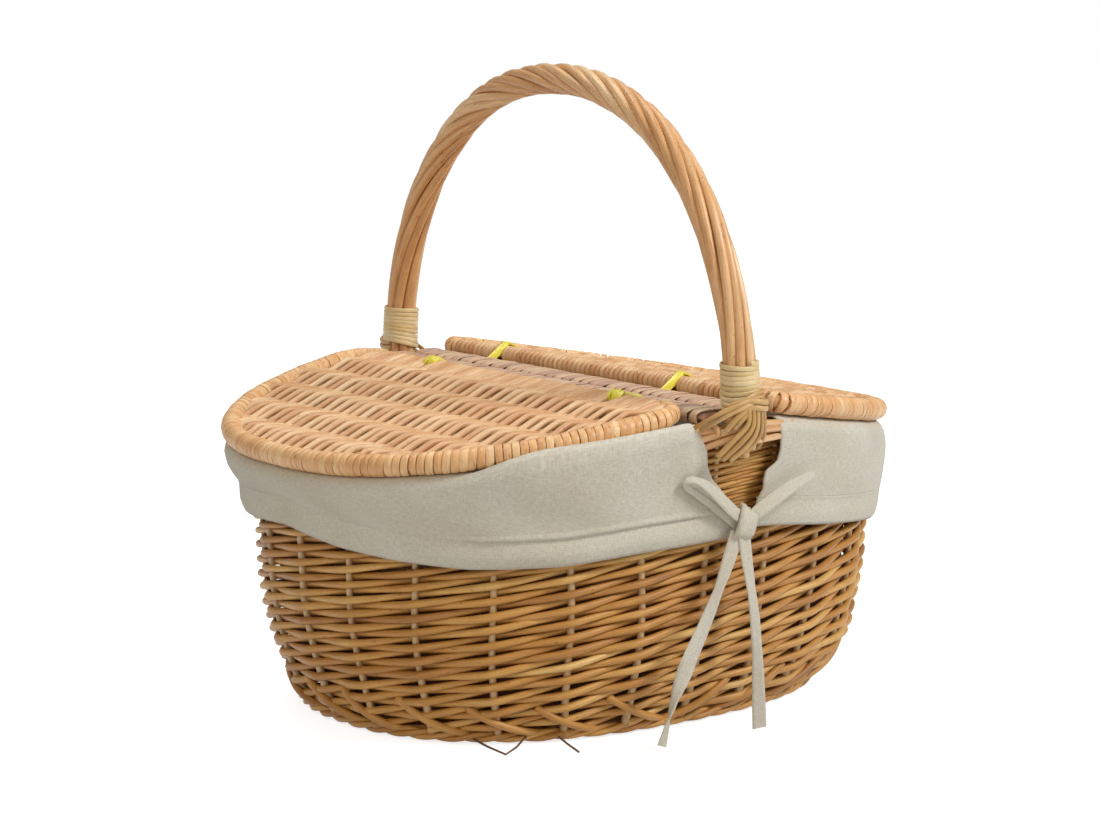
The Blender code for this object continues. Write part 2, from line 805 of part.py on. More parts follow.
def build_panel(bm, flat, rib_places):
    """Woven panel: a plate whose top rises and dips where its courses cross the ribs."""
    bm.faces.new([bm.verts.new(p + Vector((0, 0, panel_rise))) for p in flat])
    pitch = 2 * max(p.y for p in flat) / panel_course_count
    rows = [pitch * (k - panel_course_count / 2) for k in range(1, panel_course_count)]
    cuts = [(Vector((x, 0, 0)), Vector((1, 0, 0))) for x in rib_places]
    cuts += [(Vector((0, y, 0)), Vector((0, 1, 0))) for y in rows]
    for place, way in cuts:
        bmesh.ops.bisect_plane(bm, geom=bm.verts[:] + bm.edges[:] + bm.faces[:], dist=gap / 10,
                               plane_co=place, plane_no=way)
    top = bm.faces[:]
    under = bmesh.ops.extrude_face_region(bm, geom=top, use_keep_orig=True)["geom"]
    lowered = [v for v in under if isinstance(v, bmesh.types.BMVert)]
    bmesh.ops.translate(bm, verts=lowered, vec=(0, 0, -panel_thickness))
    bmesh.ops.dissolve_faces(bm, faces=[f for f in under if isinstance(f, bmesh.types.BMFace)])
    for i, x in enumerate(rib_places):
        for row, y in enumerate(rows):
            for vert in bm.verts:
                near = abs(vert.co.x - x) < gap and abs(vert.co.y - y) < gap
                inner = vert.co.z > 0 and all(face in top for face in vert.link_faces)
                if near and inner and (i + row) % 2:
                    vert.co.z -= panel_depth
    bmesh.ops.triangulate(bm, faces=top)


def half_width(outline, x):
    """Half the panel's width at a distance from the hinge."""
    for one, two in zip(outline, outline[1:]):
        if two.y > 0 and one.x >= x > two.x:
            return one.y + (two.y - one.y) * (x - one.x) / (two.x - one.x)


# Hinge ties: a loop of binding round a lid's rail and the nearer stick of the bar

def hull(points):
    """Convex outline round points in a plane, anticlockwise."""
    points = sorted(set((round(a, 7), round(b, 7)) for a, b in points))
    lower, upper = [], []
    for chain, order in ((lower, points), (upper, points[::-1])):
        for p in order:
            while len(chain) > 1:
                (ax, ay), (bx, by) = chain[-2], chain[-1]
                if (bx - ax) * (p[1] - ay) - (by - ay) * (p[0] - ax) > 0:
                    break
                chain.pop()
            chain.append(p)
    return lower[:-1] + upper[:-1]


def ring_points(centre, wide, deep, count):
    points = []
    for k in range(count):
        turn = 2 * pi * (k + 0.5) / count
        points.append((centre[0] + wide * cos(turn), centre[1] + deep * sin(turn)))
    return points


def build_tie(name, y, turn):
    """Plate with two eyes, one round the rail and one round the stick."""
    count = 14
    out = 1 / cos(pi / count)
    rail = (-hinge_x, hinge_z)
    stick = (-bar_slot / 2 - wound_half_width, rim_height + gap + wound_half_depth)
    held = ((rail, rail_radius + hinge_gap, rail_radius + hinge_gap),
            (stick, wound_half_width + gap, wound_half_depth + gap))
    eyes, grown = [], []
    for centre, wide, deep in held:
        eyes.append(ring_points(centre, wide * out, deep * out, count))
        grown += ring_points(centre, wide * out + tie_thickness, deep * out + tie_thickness, count)
    outline = hull(grown)
    bm = bmesh.new()
    loops = []
    edges = []
    for ring in (outline, *eyes):
        verts = [bm.verts.new((a, y - tie_width / 2, c)) for a, c in ring]
        loops.append(verts)
        edges += [bm.edges.new((verts[i - 1], verts[i])) for i in range(len(verts))]
    bmesh.ops.triangle_fill(bm, use_beauty=True, use_dissolve=False, edges=edges,
                            normal=(0, -1, 0))
    lifted = bmesh.ops.extrude_face_region(bm, geom=bm.faces[:])
    moved = [v for v in lifted["geom"] if isinstance(v, bmesh.types.BMVert)]
    bmesh.ops.translate(bm, verts=moved, vec=(0, tie_width, 0))
    bmesh.ops.rotate(bm, verts=bm.verts, cent=(0, 0, 0), matrix=Matrix.Rotation(turn, 3, "Z"))
    finish(name, bm, (0.80, 0.70, 0.10), 0.4)


# Ribbons

def ribbon(name, points, width, thickness, flat, steps=8):
    """Flat strip along a smooth path, its broad side facing the given way."""
    start = Vector(points[0])
    path = [start] + smooth_path(points[1:], steps - 1)
    rings = []
    for i, point in enumerate(path):
        tangent = (path[min(i + 1, steps - 1)] - path[max(i - 1, 0)]).normalized()
        normal = (flat - tangent * flat.dot(tangent)).normalized()
        across = tangent.cross(normal) * (width / 2)
        deep = normal * (thickness / 2)
        rings.append([point + across + deep, point + across - deep,
                      point - across - deep, point - across + deep])
    return strip(name, rings, linen, 0.9)


def build_ribbons():
    """Bow that ties the two flaps under each handle foot."""
    out = Vector((0, -1, 0))
    hem = wall_outset(hem_height, -pi / 2) + hem_ease
    proud = max(stand for share, stand in skirt_shares if share < knot_share)
    behind = rim_half_width + hem + (rim_ease - hem) * proud + cloth_thickness
    knot_y = -behind - gap - knot_depth / 2
    face_y = rim_half_width + rim_ease + cloth_thickness + 2 * fold_depth
    bm = bmesh.new()
    bmesh.ops.create_cube(bm, size=1)
    bmesh.ops.scale(bm, verts=bm.verts, vec=(knot_size, knot_depth, knot_size))
    bmesh.ops.bevel(bm, geom=bm.edges[:], offset=knot_depth * knot_round_share, segments=2,
                    profile=0.6, affect="EDGES", clamp_overlap=True)
    bmesh.ops.translate(bm, verts=bm.verts, vec=(knot_x, knot_y, knot_height))
    knot = finish("ribbon_knot_front", bm, linen, 0.9)
    half_turn("ribbon_knot_back", knot, linen, 0.9)

    side = knot_size / 2 + gap
    loop_y = -face_y - loop_thickness / 2 - gap
    for tag, way, reach, rise in (("left", -1, left_loop_reach, left_loop_rise),
                                  ("right", 1, right_loop_reach, right_loop_rise)):
        start = knot_x + way * side
        tuck = start + way * knot_tuck
        tip = knot_x + way * reach
        loop = ribbon("ribbon_loop_front_" + tag, (
            (start, knot_y, knot_height), (tuck, knot_y, knot_height),
            ((tuck + tip) / 2, (knot_y + loop_y) / 2, knot_height + loop_middle_share * rise),
            (tip, loop_y, knot_height + rise)), ribbon_width, loop_thickness, out)
        half_turn("ribbon_loop_back_" + tag, loop, linen, 0.9)

    foot = knot_height - knot_size / 2 - gap
    for tag, way, end_x, end_z in (("left", -1, left_tail_end_x, left_tail_end_height),
                                   ("right", 1, right_tail_end_x, right_tail_end_height)):
        start = knot_x + way * ribbon_thickness
        y = knot_y + way * ribbon_thickness
        drop = foot - end_z
        lean = end_x - start
        points = [(start, y, foot), (start, y, foot - knot_tuck)]
        for sideways, down in tail_shares:
            points.append((start + sideways * lean, y, foot - down * drop))
        points.append((end_x, y, end_z))
        tail = ribbon("ribbon_tail_front_" + tag, points, ribbon_width, ribbon_thickness, out)
        half_turn("ribbon_tail_back_" + tag, tail, linen, 0.9)


def main():
    for old in list(bpy.data.objects):
        bpy.data.objects.remove(old, do_unlink=True)
    build_base()
    build_upsett()
    build_wall()
    build_border()
    build_bag()
    build_flap()
    build_handle()
    build_bindings()
    build_lashings()
    build_bar()
    build_lid("left", 0)
    build_lid("right", pi)
    for side, turn in (("left", 0), ("right", pi)):
        build_tie("hinge_tie_" + side + "_front", -tie_y, turn)
        build_tie("hinge_tie_" + side + "_back", tie_y, turn)
    build_ribbons()


main()
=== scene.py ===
# Oval willow picnic basket with a linen liner: the looks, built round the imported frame
import json
import bpy
import numpy as np
from math import atan, cos, pi, radians, sin
from mathutils import Matrix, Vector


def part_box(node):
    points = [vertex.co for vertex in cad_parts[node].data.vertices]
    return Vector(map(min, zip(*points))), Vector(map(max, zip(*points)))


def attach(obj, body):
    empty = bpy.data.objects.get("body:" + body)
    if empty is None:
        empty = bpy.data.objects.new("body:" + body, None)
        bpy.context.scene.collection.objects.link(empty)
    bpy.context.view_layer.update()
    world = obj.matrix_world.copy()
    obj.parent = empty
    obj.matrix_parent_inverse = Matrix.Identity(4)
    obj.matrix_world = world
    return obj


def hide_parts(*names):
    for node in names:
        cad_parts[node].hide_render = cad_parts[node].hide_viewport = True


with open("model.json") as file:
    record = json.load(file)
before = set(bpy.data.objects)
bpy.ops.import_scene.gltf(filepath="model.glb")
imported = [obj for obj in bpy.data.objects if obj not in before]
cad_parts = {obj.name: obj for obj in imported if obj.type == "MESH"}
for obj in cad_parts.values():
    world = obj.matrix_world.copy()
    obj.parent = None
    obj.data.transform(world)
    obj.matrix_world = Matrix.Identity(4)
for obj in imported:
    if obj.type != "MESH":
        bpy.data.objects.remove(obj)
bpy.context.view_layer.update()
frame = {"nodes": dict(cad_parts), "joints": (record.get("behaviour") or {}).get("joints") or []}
mm = 0.001


# Camera, fitted to the outlines of the lids, the arch and the base

camera = {
    "azimuth": -37.43, "elevation": 8.64, "distance": 1.792,
    "target": (-0.0135, -0.0094, 0.1655),
    "focalPixels": 3092.6, "imageWidth": 1100, "sensor": 36.0,
}


def placeCamera():
    a, e = radians(camera["azimuth"]), radians(camera["elevation"])
    back = np.array([sin(a) * cos(e), -cos(a) * cos(e), sin(e)])
    data = bpy.data.cameras.new("camera")
    data.sensor_width = camera["sensor"]
    data.lens = camera["focalPixels"] * camera["sensor"] / camera["imageWidth"]
    data.clip_end = 20
    eye = bpy.data.objects.new("camera", data)
    bpy.context.scene.collection.objects.link(eye)
    eye.location = np.array(camera["target"]) + back * camera["distance"]
    eye.rotation_euler = (pi / 2 - e, 0, a)
    bpy.context.scene.camera = eye


placeCamera()
print("camera placed")


# Sizes read from the frame

def boxOf(name):
    return [np.array(corner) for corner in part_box(name)]


borderHigh = boxOf("stakes_and_border")[1]
hingeX, _, hingeZ = {j["child"]: j["pos_m"] for j in frame["joints"]}["right_lid"]

body = {
    "halfLength": float(borderHigh[0]), "halfWidth": float(borderHigh[1]),
    "top": float(borderHigh[2]), "power": 2.35, "border": 11 * mm, "rimInset": 5 * mm,
    "lidCrown": 21 * mm, "lidFall": 0.169, "lidEdge": 12.5 * mm, "lidGap": 2.1 * mm,
    # under the border the wall's face falls back from it by a steady slope
    "footInset": 37 * mm, "lipInset": 1.5 * mm, "lipSlope": 0.45,
    # height as a share of the border's, inset of the wall's face as a share of footInset
    "wallShares": ((0.0, 1.0), (0.075, 0.80), (0.15, 0.64), (0.23, 0.505), (0.315, 0.41),
                   (0.42, 0.335), (0.56, 0.31), (0.66, 0.27), (0.75, 0.19), (0.86, 0.095),
                   (1.0, 0.04)),
    "stakes": 24, "firstStake": -5 * mm,
    # the wall bellies out at the front right, by height in mm: how far in mm
    "belly": ((0, 1), (8, 3), (17, 6.5), (26, 9.5), (34, 9.5), (45, 7.6), (105, 7.6), (135, 0)),
    "bellyAngle": -0.583, "bellySpan": 1.05,
}
lidSlope = atan(body["lidFall"])


# Colour and material helpers

def linear(code):
    channels = [int(code[i:i + 2], 16) / 255 for i in (1, 3, 5)]
    return tuple(c / 12.92 if c <= 0.04045 else ((c + 0.055) / 1.055) ** 2.4 for c in channels)


def feed(tree, node, inputs):
    # a node given as a value is linked by its first output
    for key, value in inputs.items():
        if isinstance(value, bpy.types.Node):
            value = value.outputs[0]
        if isinstance(value, bpy.types.NodeSocket):
            tree.links.new(value, node.inputs[key])
        else:
            node.inputs[key].default_value = value


def addNode(tree, kind, inputs=None, **settings):
    made = tree.nodes.new("ShaderNode" + kind)
    for key, value in settings.items():
        setattr(made, key, value)
    feed(tree, made, inputs or {})
    return made


def rampOf(tree, value, stops):
    made = addNode(tree, "ValToRGB", {"Fac": value})
    elements = made.color_ramp.elements
    while len(elements) < len(stops):
        elements.new(0.5)
    for element, (place, code) in zip(elements, stops.items()):
        element.position = place
        element.color = (*linear(code), 1)
    return made


def newMaterial(name):
    material = bpy.data.materials.new(name)
    material.use_nodes = True
    tree = material.node_tree
    return material, tree, tree.nodes["Principled BSDF"]


# Peeled willow: a buffed pale rod under thin varnish. The eye gets long fine grain along the
# rod, slow drifts from straw to orange, and a soft highlight that runs down each rod.

willowLook = {
    # grain across a rod, how much it is stretched along it, and the drift of colour
    "grain": 0.45 * mm, "stretch": 0.045, "driftAlong": 26 * mm, "driftAcross": 9 * mm,
    "spread": 0.6, "drift": 0.6, "streak": "#a98a66", "grainDepth": 0.5, "knot": "#8a5a30",
    "knotDepth": 0.7, "bump": 0.35, "bumpHeight": 0.25 * mm, "roughness": 0.46, "coat": 0.12,
}


def willow(name, **own):
    look = {**willowLook, **own}
    material, tree, shader = newMaterial(name)
    place = addNode(tree, "Attribute", attribute_name="rodMap").outputs["Vector"]
    tone = addNode(tree, "Attribute", attribute_name="rodTone").outputs["Fac"]
    grain, along, across = look["grain"], look["driftAlong"], look["driftAcross"]
    fine, slow = (addNode(tree, "VectorMath", {0: place, 1: scale}, operation="MULTIPLY")
                  for scale in ((look["stretch"] / grain, 1 / grain, 1 / grain),
                                (1 / along, 1 / across, 1 / across)))
    fibre = addNode(tree, "TexNoise", {"Vector": fine, "Scale": 1.0, "Detail": 3.0,
                                       "Roughness": 0.6})
    drift = addNode(tree, "TexNoise", {"Vector": slow, "Scale": 1.0, "Detail": 2.0})
    speck = addNode(tree, "TexNoise", {"Vector": slow, "Scale": 7.0, "Detail": 1.0})
    # the rod's own tone and the drift of colour, about the middle of the ramp
    spread, wander = look["spread"], look["drift"]
    toned = addNode(tree, "Math", {0: tone, 1: spread, 2: 0.5 - (spread + wander) / 2},
                    operation="MULTIPLY_ADD")
    mixed = addNode(tree, "Math", {0: drift, 1: wander, 2: toned}, operation="MULTIPLY_ADD")
    colour = rampOf(tree, mixed, look["stops"])
    streak = rampOf(tree, fibre, {0.28: look["streak"], 0.62: "#ffffff"})
    knot = rampOf(tree, speck, {0.70: "#ffffff", 0.78: look["knot"]})
    for share, layer in ((look["grainDepth"], streak), (look["knotDepth"], knot)):
        colour = addNode(tree, "Mix", {0: share, 6: colour, 7: layer}, data_type="RGBA",
                         blend_type="MULTIPLY").outputs[2]
    bump = addNode(tree, "Bump", {"Strength": look["bump"], "Distance": look["bumpHeight"],
                                  "Height": fibre})
    feed(tree, shader, {"Base Color": colour, "Normal": bump, "Roughness": look["roughness"],
                        "IOR": 1.5, "Coat Weight": look["coat"], "Coat Roughness": 0.3})
    return material


# the side's rods: deep straw gone orange, drier than the lids
goldenWillow = willow(
    "golden_peeled_willow", spread=0.62, roughness=0.5, coat=0.06,
    stops={0: "#965f28", 0.35: "#c0873c", 0.65: "#d5a254", 1: "#ecc87e"})
# the stakes: paler dashes between the rods
stakeWillow = willow("weathered_willow_stake", grainDepth=0.45,
                     stops={0: "#b48c5c", 0.5: "#d3b182", 1: "#e6d0a4"})
# the lids' panels: warm, pinkish tan
peachWillow = willow("steamed_peach_willow", grainDepth=0.4,
                     stops={0: "#c38950", 0.4: "#dbab79", 0.7: "#e8c191", 1: "#f0d2a8"})
# the lids' wound edges: the palest of the willow, each turn of one even tone
coiledWillow = willow("skeined_edge_willow", grainDepth=0.45, spread=0.42, drift=0.5,
                      stops={0: "#bd8046", 0.35: "#e0a96f", 0.7: "#f0c690", 1: "#f7dfb2"})
# the handle: smoother and glossier, rubbed by hands
ropedWillow = willow("varnished_handle_willow", roughness=0.42, coat=0.2,
                     stops={0: "#c0874f", 0.4: "#deab72", 0.7: "#ecc38f", 1: "#f5d8ac"})
# the lashings over the handle's feet: flat tan strands
lashingWillow = willow("tan_lashing_willow",
                       stops={0: "#a27238", 0.4: "#c59a58", 0.7: "#d9b276", 1: "#e8ca96"})
# the handle's bindings: cream cane with a fine grain
splitCane = willow("pale_split_cane", grainDepth=0.4, grain=0.3 * mm, roughness=0.42,
                   stops={0: "#cbac6c", 0.5: "#e6cd96", 1: "#f4e3b8"})
# the bar's winding: mauve brown to straw, with a sheen
brownSkein = willow(
    "purple_brown_willow_skein", grainDepth=0.55, grain=0.5 * mm, roughness=0.4, coat=0.2,
    stops={0: "#b08a76", 0.3: "#d4ab91", 0.6: "#e5c09c", 1: "#f0d7b0"})
# stray ends under the base: dull brown willow, painted darker still as the shade under the base
paintedShadeStick = willow("brown_willow_painted_shade", grainDepth=0.4, stops={0: "#54402e", 1: "#806449"})
# the hinge ties: flat yellow, hardly any grain
boxStrap = willow("yellow_plastic_tie", grainDepth=0.1, bump=0.1, roughness=0.35,
                  stops={0: "#e2d021", 1: "#f0e45c"})


# Washed linen: plain weave of uneven threads. Real threads are 0.45 mm apart, too fine for the
# picture, so they are drawn at 0.7 mm. The eye gets a dry speckle and no shine.

clothLook = {"thread": 0.7 * mm, "slubWidth": 0.6 * mm, "slubLength": 3.2 * mm,
             "cloudScale": 26.0, "cloud": "#efe9da", "cloudDepth": 0.6, "bump": 0.35,
             "bumpHeight": 0.25 * mm, "roughness": 0.95, "sheen": 0.12}


def linen(name, *tones):
    material, tree, shader = newMaterial(name)
    place = addNode(tree, "Attribute", attribute_name="clothMap").outputs["Vector"]
    parts = addNode(tree, "SeparateXYZ", {0: place})
    fine, slow = 1 / clothLook["slubWidth"], 1 / clothLook["slubLength"]
    threads, slubs = {}, {}
    for number, (axis, scale) in enumerate((("X", (fine, slow, 1)), ("Y", (slow, fine, 1)))):
        angle = addNode(tree, "Math", {0: parts.outputs[axis], 1: 2 * pi / clothLook["thread"]},
                        operation="MULTIPLY")
        threads[number] = addNode(tree, "Math", {0: angle}, operation="SINE")
        shift = addNode(tree, "VectorMath", {0: place, 1: scale}, operation="MULTIPLY")
        slubs[number] = addNode(tree, "TexNoise", {"Vector": shift, "Scale": 1.0, "Detail": 2.0})
    weave = addNode(tree, "Math", threads, operation="MULTIPLY")
    slub = addNode(tree, "Math", slubs, operation="ADD")
    height = addNode(tree, "Math", {0: weave, 1: 0.2, 2: slub}, operation="MULTIPLY_ADD")
    level = addNode(tree, "Math", {0: height, 1: 0.9, 2: -0.4}, operation="MULTIPLY_ADD")
    thread = rampOf(tree, level, dict(zip((0.1, 0.5, 0.9), tones)))
    cloud = addNode(tree, "TexNoise", {"Vector": place, "Scale": clothLook["cloudScale"],
                                       "Detail": 3.0})
    shade = rampOf(tree, cloud, {0.3: clothLook["cloud"], 0.7: "#ffffff"})
    colour = addNode(tree, "Mix", {0: clothLook["cloudDepth"], 6: thread, 7: shade},
                     data_type="RGBA", blend_type="MULTIPLY")
    bump = addNode(tree, "Bump", {"Strength": clothLook["bump"],
                                  "Distance": clothLook["bumpHeight"], "Height": height})
    feed(tree, shader, {"Base Color": colour.outputs[2], "Normal": bump,
                        "Roughness": clothLook["roughness"], "Sheen Weight": clothLook["sheen"],
                        "Sheen Roughness": 0.5})
    return material


washedLinen = linen("washed_natural_linen", "#b6b0a0", "#ccc6b6", "#ddd7c9")
# the bag's outer side, linen painted dark brown as shade, seen only as the darkness between the rods
# of the wall
paintedShadeLinen = linen("linen_back_in_shade", "#744c32", "#865b3f", "#966a4c")
print("materials made")


# Number helpers

def unit(v):
    return v / np.maximum(np.linalg.norm(v, axis=-1, keepdims=True), 1e-12)


def bent(wave, power):
    # a sine or cosine made squarer, for power below 1
    return np.copysign(np.abs(wave) ** power, wave)

def eased(share):
    return share * share * (3 - 2 * share)


def zigzag(at, sharp):
    # over and under by turns, in straight floats, rounded at the turns for sharp below 1
    return 2 / pi * np.arcsin(sharp * np.cos(pi * at))


def table(rows, at):
    places, values = zip(*rows)
    return np.interp(at, places, values)


def summed(steps):
    return np.concatenate([[0], np.cumsum(steps)])


def runAlong(line):
    return summed(np.linalg.norm(np.diff(line, axis=0), axis=1))


def spaced(line, count=None, step=None):
    # the same line in even steps, and the distance along it
    run = runAlong(line)
    at = np.arange(0, run[-1], step) if step else np.linspace(0, run[-1], count)
    return np.stack([np.interp(at, run, column) for column in line.T], -1), at


def smooth(points, count):
    # even-stepped smooth curve through given points
    p = np.asarray(points, float)
    p = np.vstack([2 * p[0] - p[1], p, 2 * p[-1] - p[-2]])
    t = np.linspace(0, 1, 13)[:-1, None]
    runs = []
    for a, b, c, d in zip(p, p[1:], p[2:], p[3:]):
        runs.append(0.5 * (2 * b + (c - a) * t + (2 * a - 5 * b + 4 * c - d) * t ** 2
                           + (3 * b - a - 3 * c + d) * t ** 3))
    return spaced(np.vstack(runs + [p[-2:-1]]), count)[0]


def halfTurn(points):
    return np.asarray(points) * (-1, -1, 1)


# Mesh helpers

def gridFaces(index, closed=False, capped=False, wrap=True):
    # faces over rows and columns of point numbers; wrap joins the last column to the first
    one, two = (index, np.roll(index, -1, 0)) if closed else (index[:-1], index[1:])
    quads = np.stack([one, np.roll(one, -1, 1), np.roll(two, -1, 1), two], -1)
    faces = (quads if wrap else quads[:, :-1]).reshape(-1, 4).tolist()
    return faces + [index[0][::-1].tolist(), index[-1].tolist()] if capped else faces


def newObject(name, points, faces, material):
    mesh = bpy.data.meshes.new(name)
    mesh.from_pydata(points.tolist(), [], faces)
    mesh.materials.append(material)
    mesh.shade_smooth()
    piece = bpy.data.objects.new(name, mesh)
    bpy.context.scene.collection.objects.link(piece)
    return piece

def addMap(piece, name, places):
    made = piece.data.attributes.new(name, "FLOAT_VECTOR", "POINT")
    made.data.foreach_set("vector", np.asarray(places, np.float32).ravel())


def finishPiece(piece, bodyName, slotName, *replaced):
    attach(piece, bodyName)
    if replaced:
        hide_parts(*replaced)


def rod(path, radius, normal, tone, flat=1.0, closed=False, blunt=True, square=1.0):
    # one rod: its path, radius, the way its flat side faces, and its shade from 0 to 1
    path = np.asarray(path, float)
    count = len(path)
    return {"path": path, "radius": np.broadcast_to(radius, count).astype(float),
            "normal": np.broadcast_to(normal, (count, 3)).astype(float),
            "tone": np.broadcast_to(tone, count).astype(float),
            "flat": flat, "closed": closed, "blunt": blunt, "square": square}

# a rod's cut end is chamfered, by shares of its radius, and each rod has its own grain
rodLook = {"endReach": 0.25, "endRadius": 0.7, "grainShift": (0.37, 0.11), "sharp": radians(50)}


def makeRods(name, rods, material, bodyName, slotName, *replaced, sides=8):
    turn = 2 * pi * (np.arange(sides) + 0.5) / sides
    reach, small = rodLook["endReach"], rodLook["endRadius"]
    points, places, tones, faces = [], [], [], []
    base = 0
    for number, r in enumerate(rods):
        path, radius, normal, tone = r["path"], r["radius"], r["normal"], r["tone"]
        if r["closed"]:
            tangent = unit(np.roll(path, -1, 0) - np.roll(path, 1, 0))
        else:
            tangent = unit(np.gradient(path, axis=0))
        n = unit(normal - tangent * (normal * tangent).sum(1, keepdims=True))
        b = np.cross(tangent, n)
        along = runAlong(path)
        if not r["closed"] and r["blunt"]:
            path = np.vstack([path[:1] - tangent[:1] * radius[0] * reach, path,
                              path[-1:] + tangent[-1:] * radius[-1] * reach])
            radius = np.concatenate([radius[:1] * small, radius, radius[-1:] * small])
            n, b, along, tone = (np.concatenate([v[:1], v, v[-1:]]) for v in (n, b, along, tone))
        radius = radius[:, None]
        thin = r["flat"] * bent(np.cos(turn), r["square"])[:, None]
        wide = bent(np.sin(turn), r["square"])[:, None]
        ring = path[:, None] + radius[..., None] * (thin * n[:, None] + wide * b[:, None])
        shift, lift = (number * step for step in rodLook["grainShift"])
        place = np.broadcast_arrays(along[:, None] + shift, radius * np.cos(turn) + lift,
                                    radius * np.sin(turn))
        points.append(ring.reshape(-1, 3))
        places.append(np.stack(place, -1).reshape(-1, 3))
        tones.append(np.repeat(tone, sides))
        faces += gridFaces(base + np.arange(len(path) * sides).reshape(-1, sides), r["closed"],
                           capped=not r["closed"])
        base += len(path) * sides
    piece = newObject(name, np.vstack(points), faces, material)
    addMap(piece, "rodMap", np.vstack(places))
    shade = piece.data.attributes.new("rodTone", "FLOAT", "POINT")
    shade.data.foreach_set("value", np.concatenate(tones).astype(np.float32))
    piece.data.set_sharp_from_angle(angle=rodLook["sharp"])
    finishPiece(piece, bodyName, slotName, *replaced)


# The basket's surface: u counts stakes round from the front, z is height

def oval(angle, outset):
    power = 2 / body["power"]
    return np.stack([(body["halfLength"] + outset) * bent(np.cos(angle), power),
                     (body["halfWidth"] + outset) * bent(np.sin(angle), power)], -1)


fineAngle = np.linspace(-pi / 2, 1.5 * pi, 8001)
fineRun = runAlong(oval(fineAngle, 0))
spacing = fineRun[-1] / body["stakes"]


def angleBy(run):
    # the oval's angle at a distance round the border from the front middle
    return np.interp(run % fineRun[-1], fineRun, fineAngle)


def angleAt(u):
    # stake number 0 stands by the front middle
    return angleBy(np.asarray(u, float) * spacing + body["firstStake"])


def onceRound(count):
    return np.arange(count) * body["stakes"] / count


def rimTop(x):
    # the border is level over the middle and slants down with the lids beyond
    under = (body["lidCrown"] + body["top"] - body["lidEdge"] / cos(lidSlope)
             - body["lidGap"])
    return np.minimum(body["top"], under - body["lidFall"] * np.abs(x))


def rimBy(angle):
    return rimTop(oval(angle, -body["rimInset"])[..., 0])


def borderMiddle(angle):
    # the border's middle line: x and y, and the height
    flat = oval(angle, -body["border"] / 2)
    return flat, rimTop(flat[..., 0]) - body["border"] / 2


def wallFace(z, angle):
    # how far the wall's outer face lies outside the border's oval, less than zero inside it
    plain = -body["footInset"] * table(body["wallShares"], z / body["top"])
    off = np.clip((angle - body["bellyAngle"]) / body["bellySpan"], -1, 1)
    plain = plain + np.cos(pi / 2 * off) ** 2 * table(body["belly"], z / mm) * mm
    below = np.maximum(borderMiddle(angle)[1] - z, 0)
    return np.maximum(plain, -body["lipInset"] - body["lipSlope"] * below)


def wallPoint(u, z, depth):
    # a point at a depth off the wall's outer face, and the wall's own outward direction
    angle = angleAt(u)
    z = np.broadcast_to(z, angle.shape)
    outset = wallFace(z, angle)
    at = oval(angle, outset)
    flat = unit(oval(angle, outset + mm) - at)
    slope = (wallFace(z + mm, angle) - wallFace(z - mm, angle)) / (2 * mm)
    normal = unit(np.concatenate([flat, -slope[..., None]], -1))
    return np.concatenate([at, z[..., None]], -1) + normal * np.asarray(depth)[..., None], normal


# Side: randing, one rod started at each space, so every float climbs as it goes round

side = {
    "rodRadius": 2.5 * mm, "tipShare": 0.86, "stakeRadius": 2.0 * mm,
    "middle": -6.2 * mm, "swing": 3.5 * mm, "rowPitch": 4.2 * mm, "starts": 38, "sharp": 0.97,
    "perStake": 12, "reach": 40, "seed": 4, "low": 2.5 * mm, "clear": 1.2 * mm,
    # the last rows under the border are thin tips, packed tight
    "tight": 58 * mm, "tightFrom": 112 * mm, "tightPitch": 0.5,
    "tightSwing": ((0, 1), (6 * mm, 0.4)), "tightRadius": ((0, 1), (5 * mm, 0.6)),
    # two more stakes beside each foot of the handle, from this far up: distances and depth
    "footStakes": (11.5 * mm, 18 * mm), "footFrom": 95 * mm, "footDepth": -9.6 * mm,
}


def sideRods():
    rng = np.random.RandomState(side["seed"])
    climb = side["starts"] * side["rowPitch"] / body["stakes"]      # per stake
    per = side["perStake"]
    rods = []
    for m in range(side["starts"]):
        first = int(np.ceil((side["low"] - m * side["rowPitch"]) / climb))
        turns = first + np.arange(side["reach"] * per + 1) / per
        rim = rimBy(angleAt(turns))
        z = m * side["rowPitch"] + climb * turns
        over = np.maximum(z - np.maximum(rim - side["tight"], side["tightFrom"]), 0)
        z = z - over * (1 - side["tightPitch"])
        keep = (z > side["low"]) & (z < rim - body["border"] - side["clear"])
        # straight floats that cross between the stakes, with thin ends
        swing = zigzag(turns + m, side["sharp"])
        depth = side["middle"] + side["swing"] * swing * table(side["tightSwing"], over)
        wobble = 0.3 * mm * np.sin(turns * 1.7 + m * 2.1) + rng.normal(0, 0.15 * mm)
        path, normal = wallPoint(turns, z + wobble * (over < mm), depth)
        size = side["rodRadius"] * np.interp(z, [side["low"], body["top"]], [1, side["tipShare"]])
        size = size * table(side["tightRadius"], over)
        size = size * rng.uniform(0.93, 1.05) * (0.8 + 0.2 * np.abs(swing))
        size = size * (1 + 0.04 * np.sin(turns * 0.9 + m))
        tone = rng.uniform(0.2, 0.8)
        runs = np.flatnonzero(np.diff(np.concatenate([[0], keep.astype(int), [0]])))
        for a, b in zip(runs[::2], runs[1::2]):
            # a new rod is pieced in behind a stake now and then
            hidden = [i for i in range(a + per, b - per)
                      if i % per == 0 and (first + i // per + m) % 2]
            cuts = [a] + hidden[rng.randint(1, 4)::rng.randint(3, 6)] + [b - 1]
            for cut, stop in zip(cuts, cuts[1:]):
                run = slice(cut, stop + 1)
                rods.append(rod(path[run], size[run], normal[run],
                                float(np.clip(tone + rng.normal(0, 0.2), 0, 1))))
    return rods

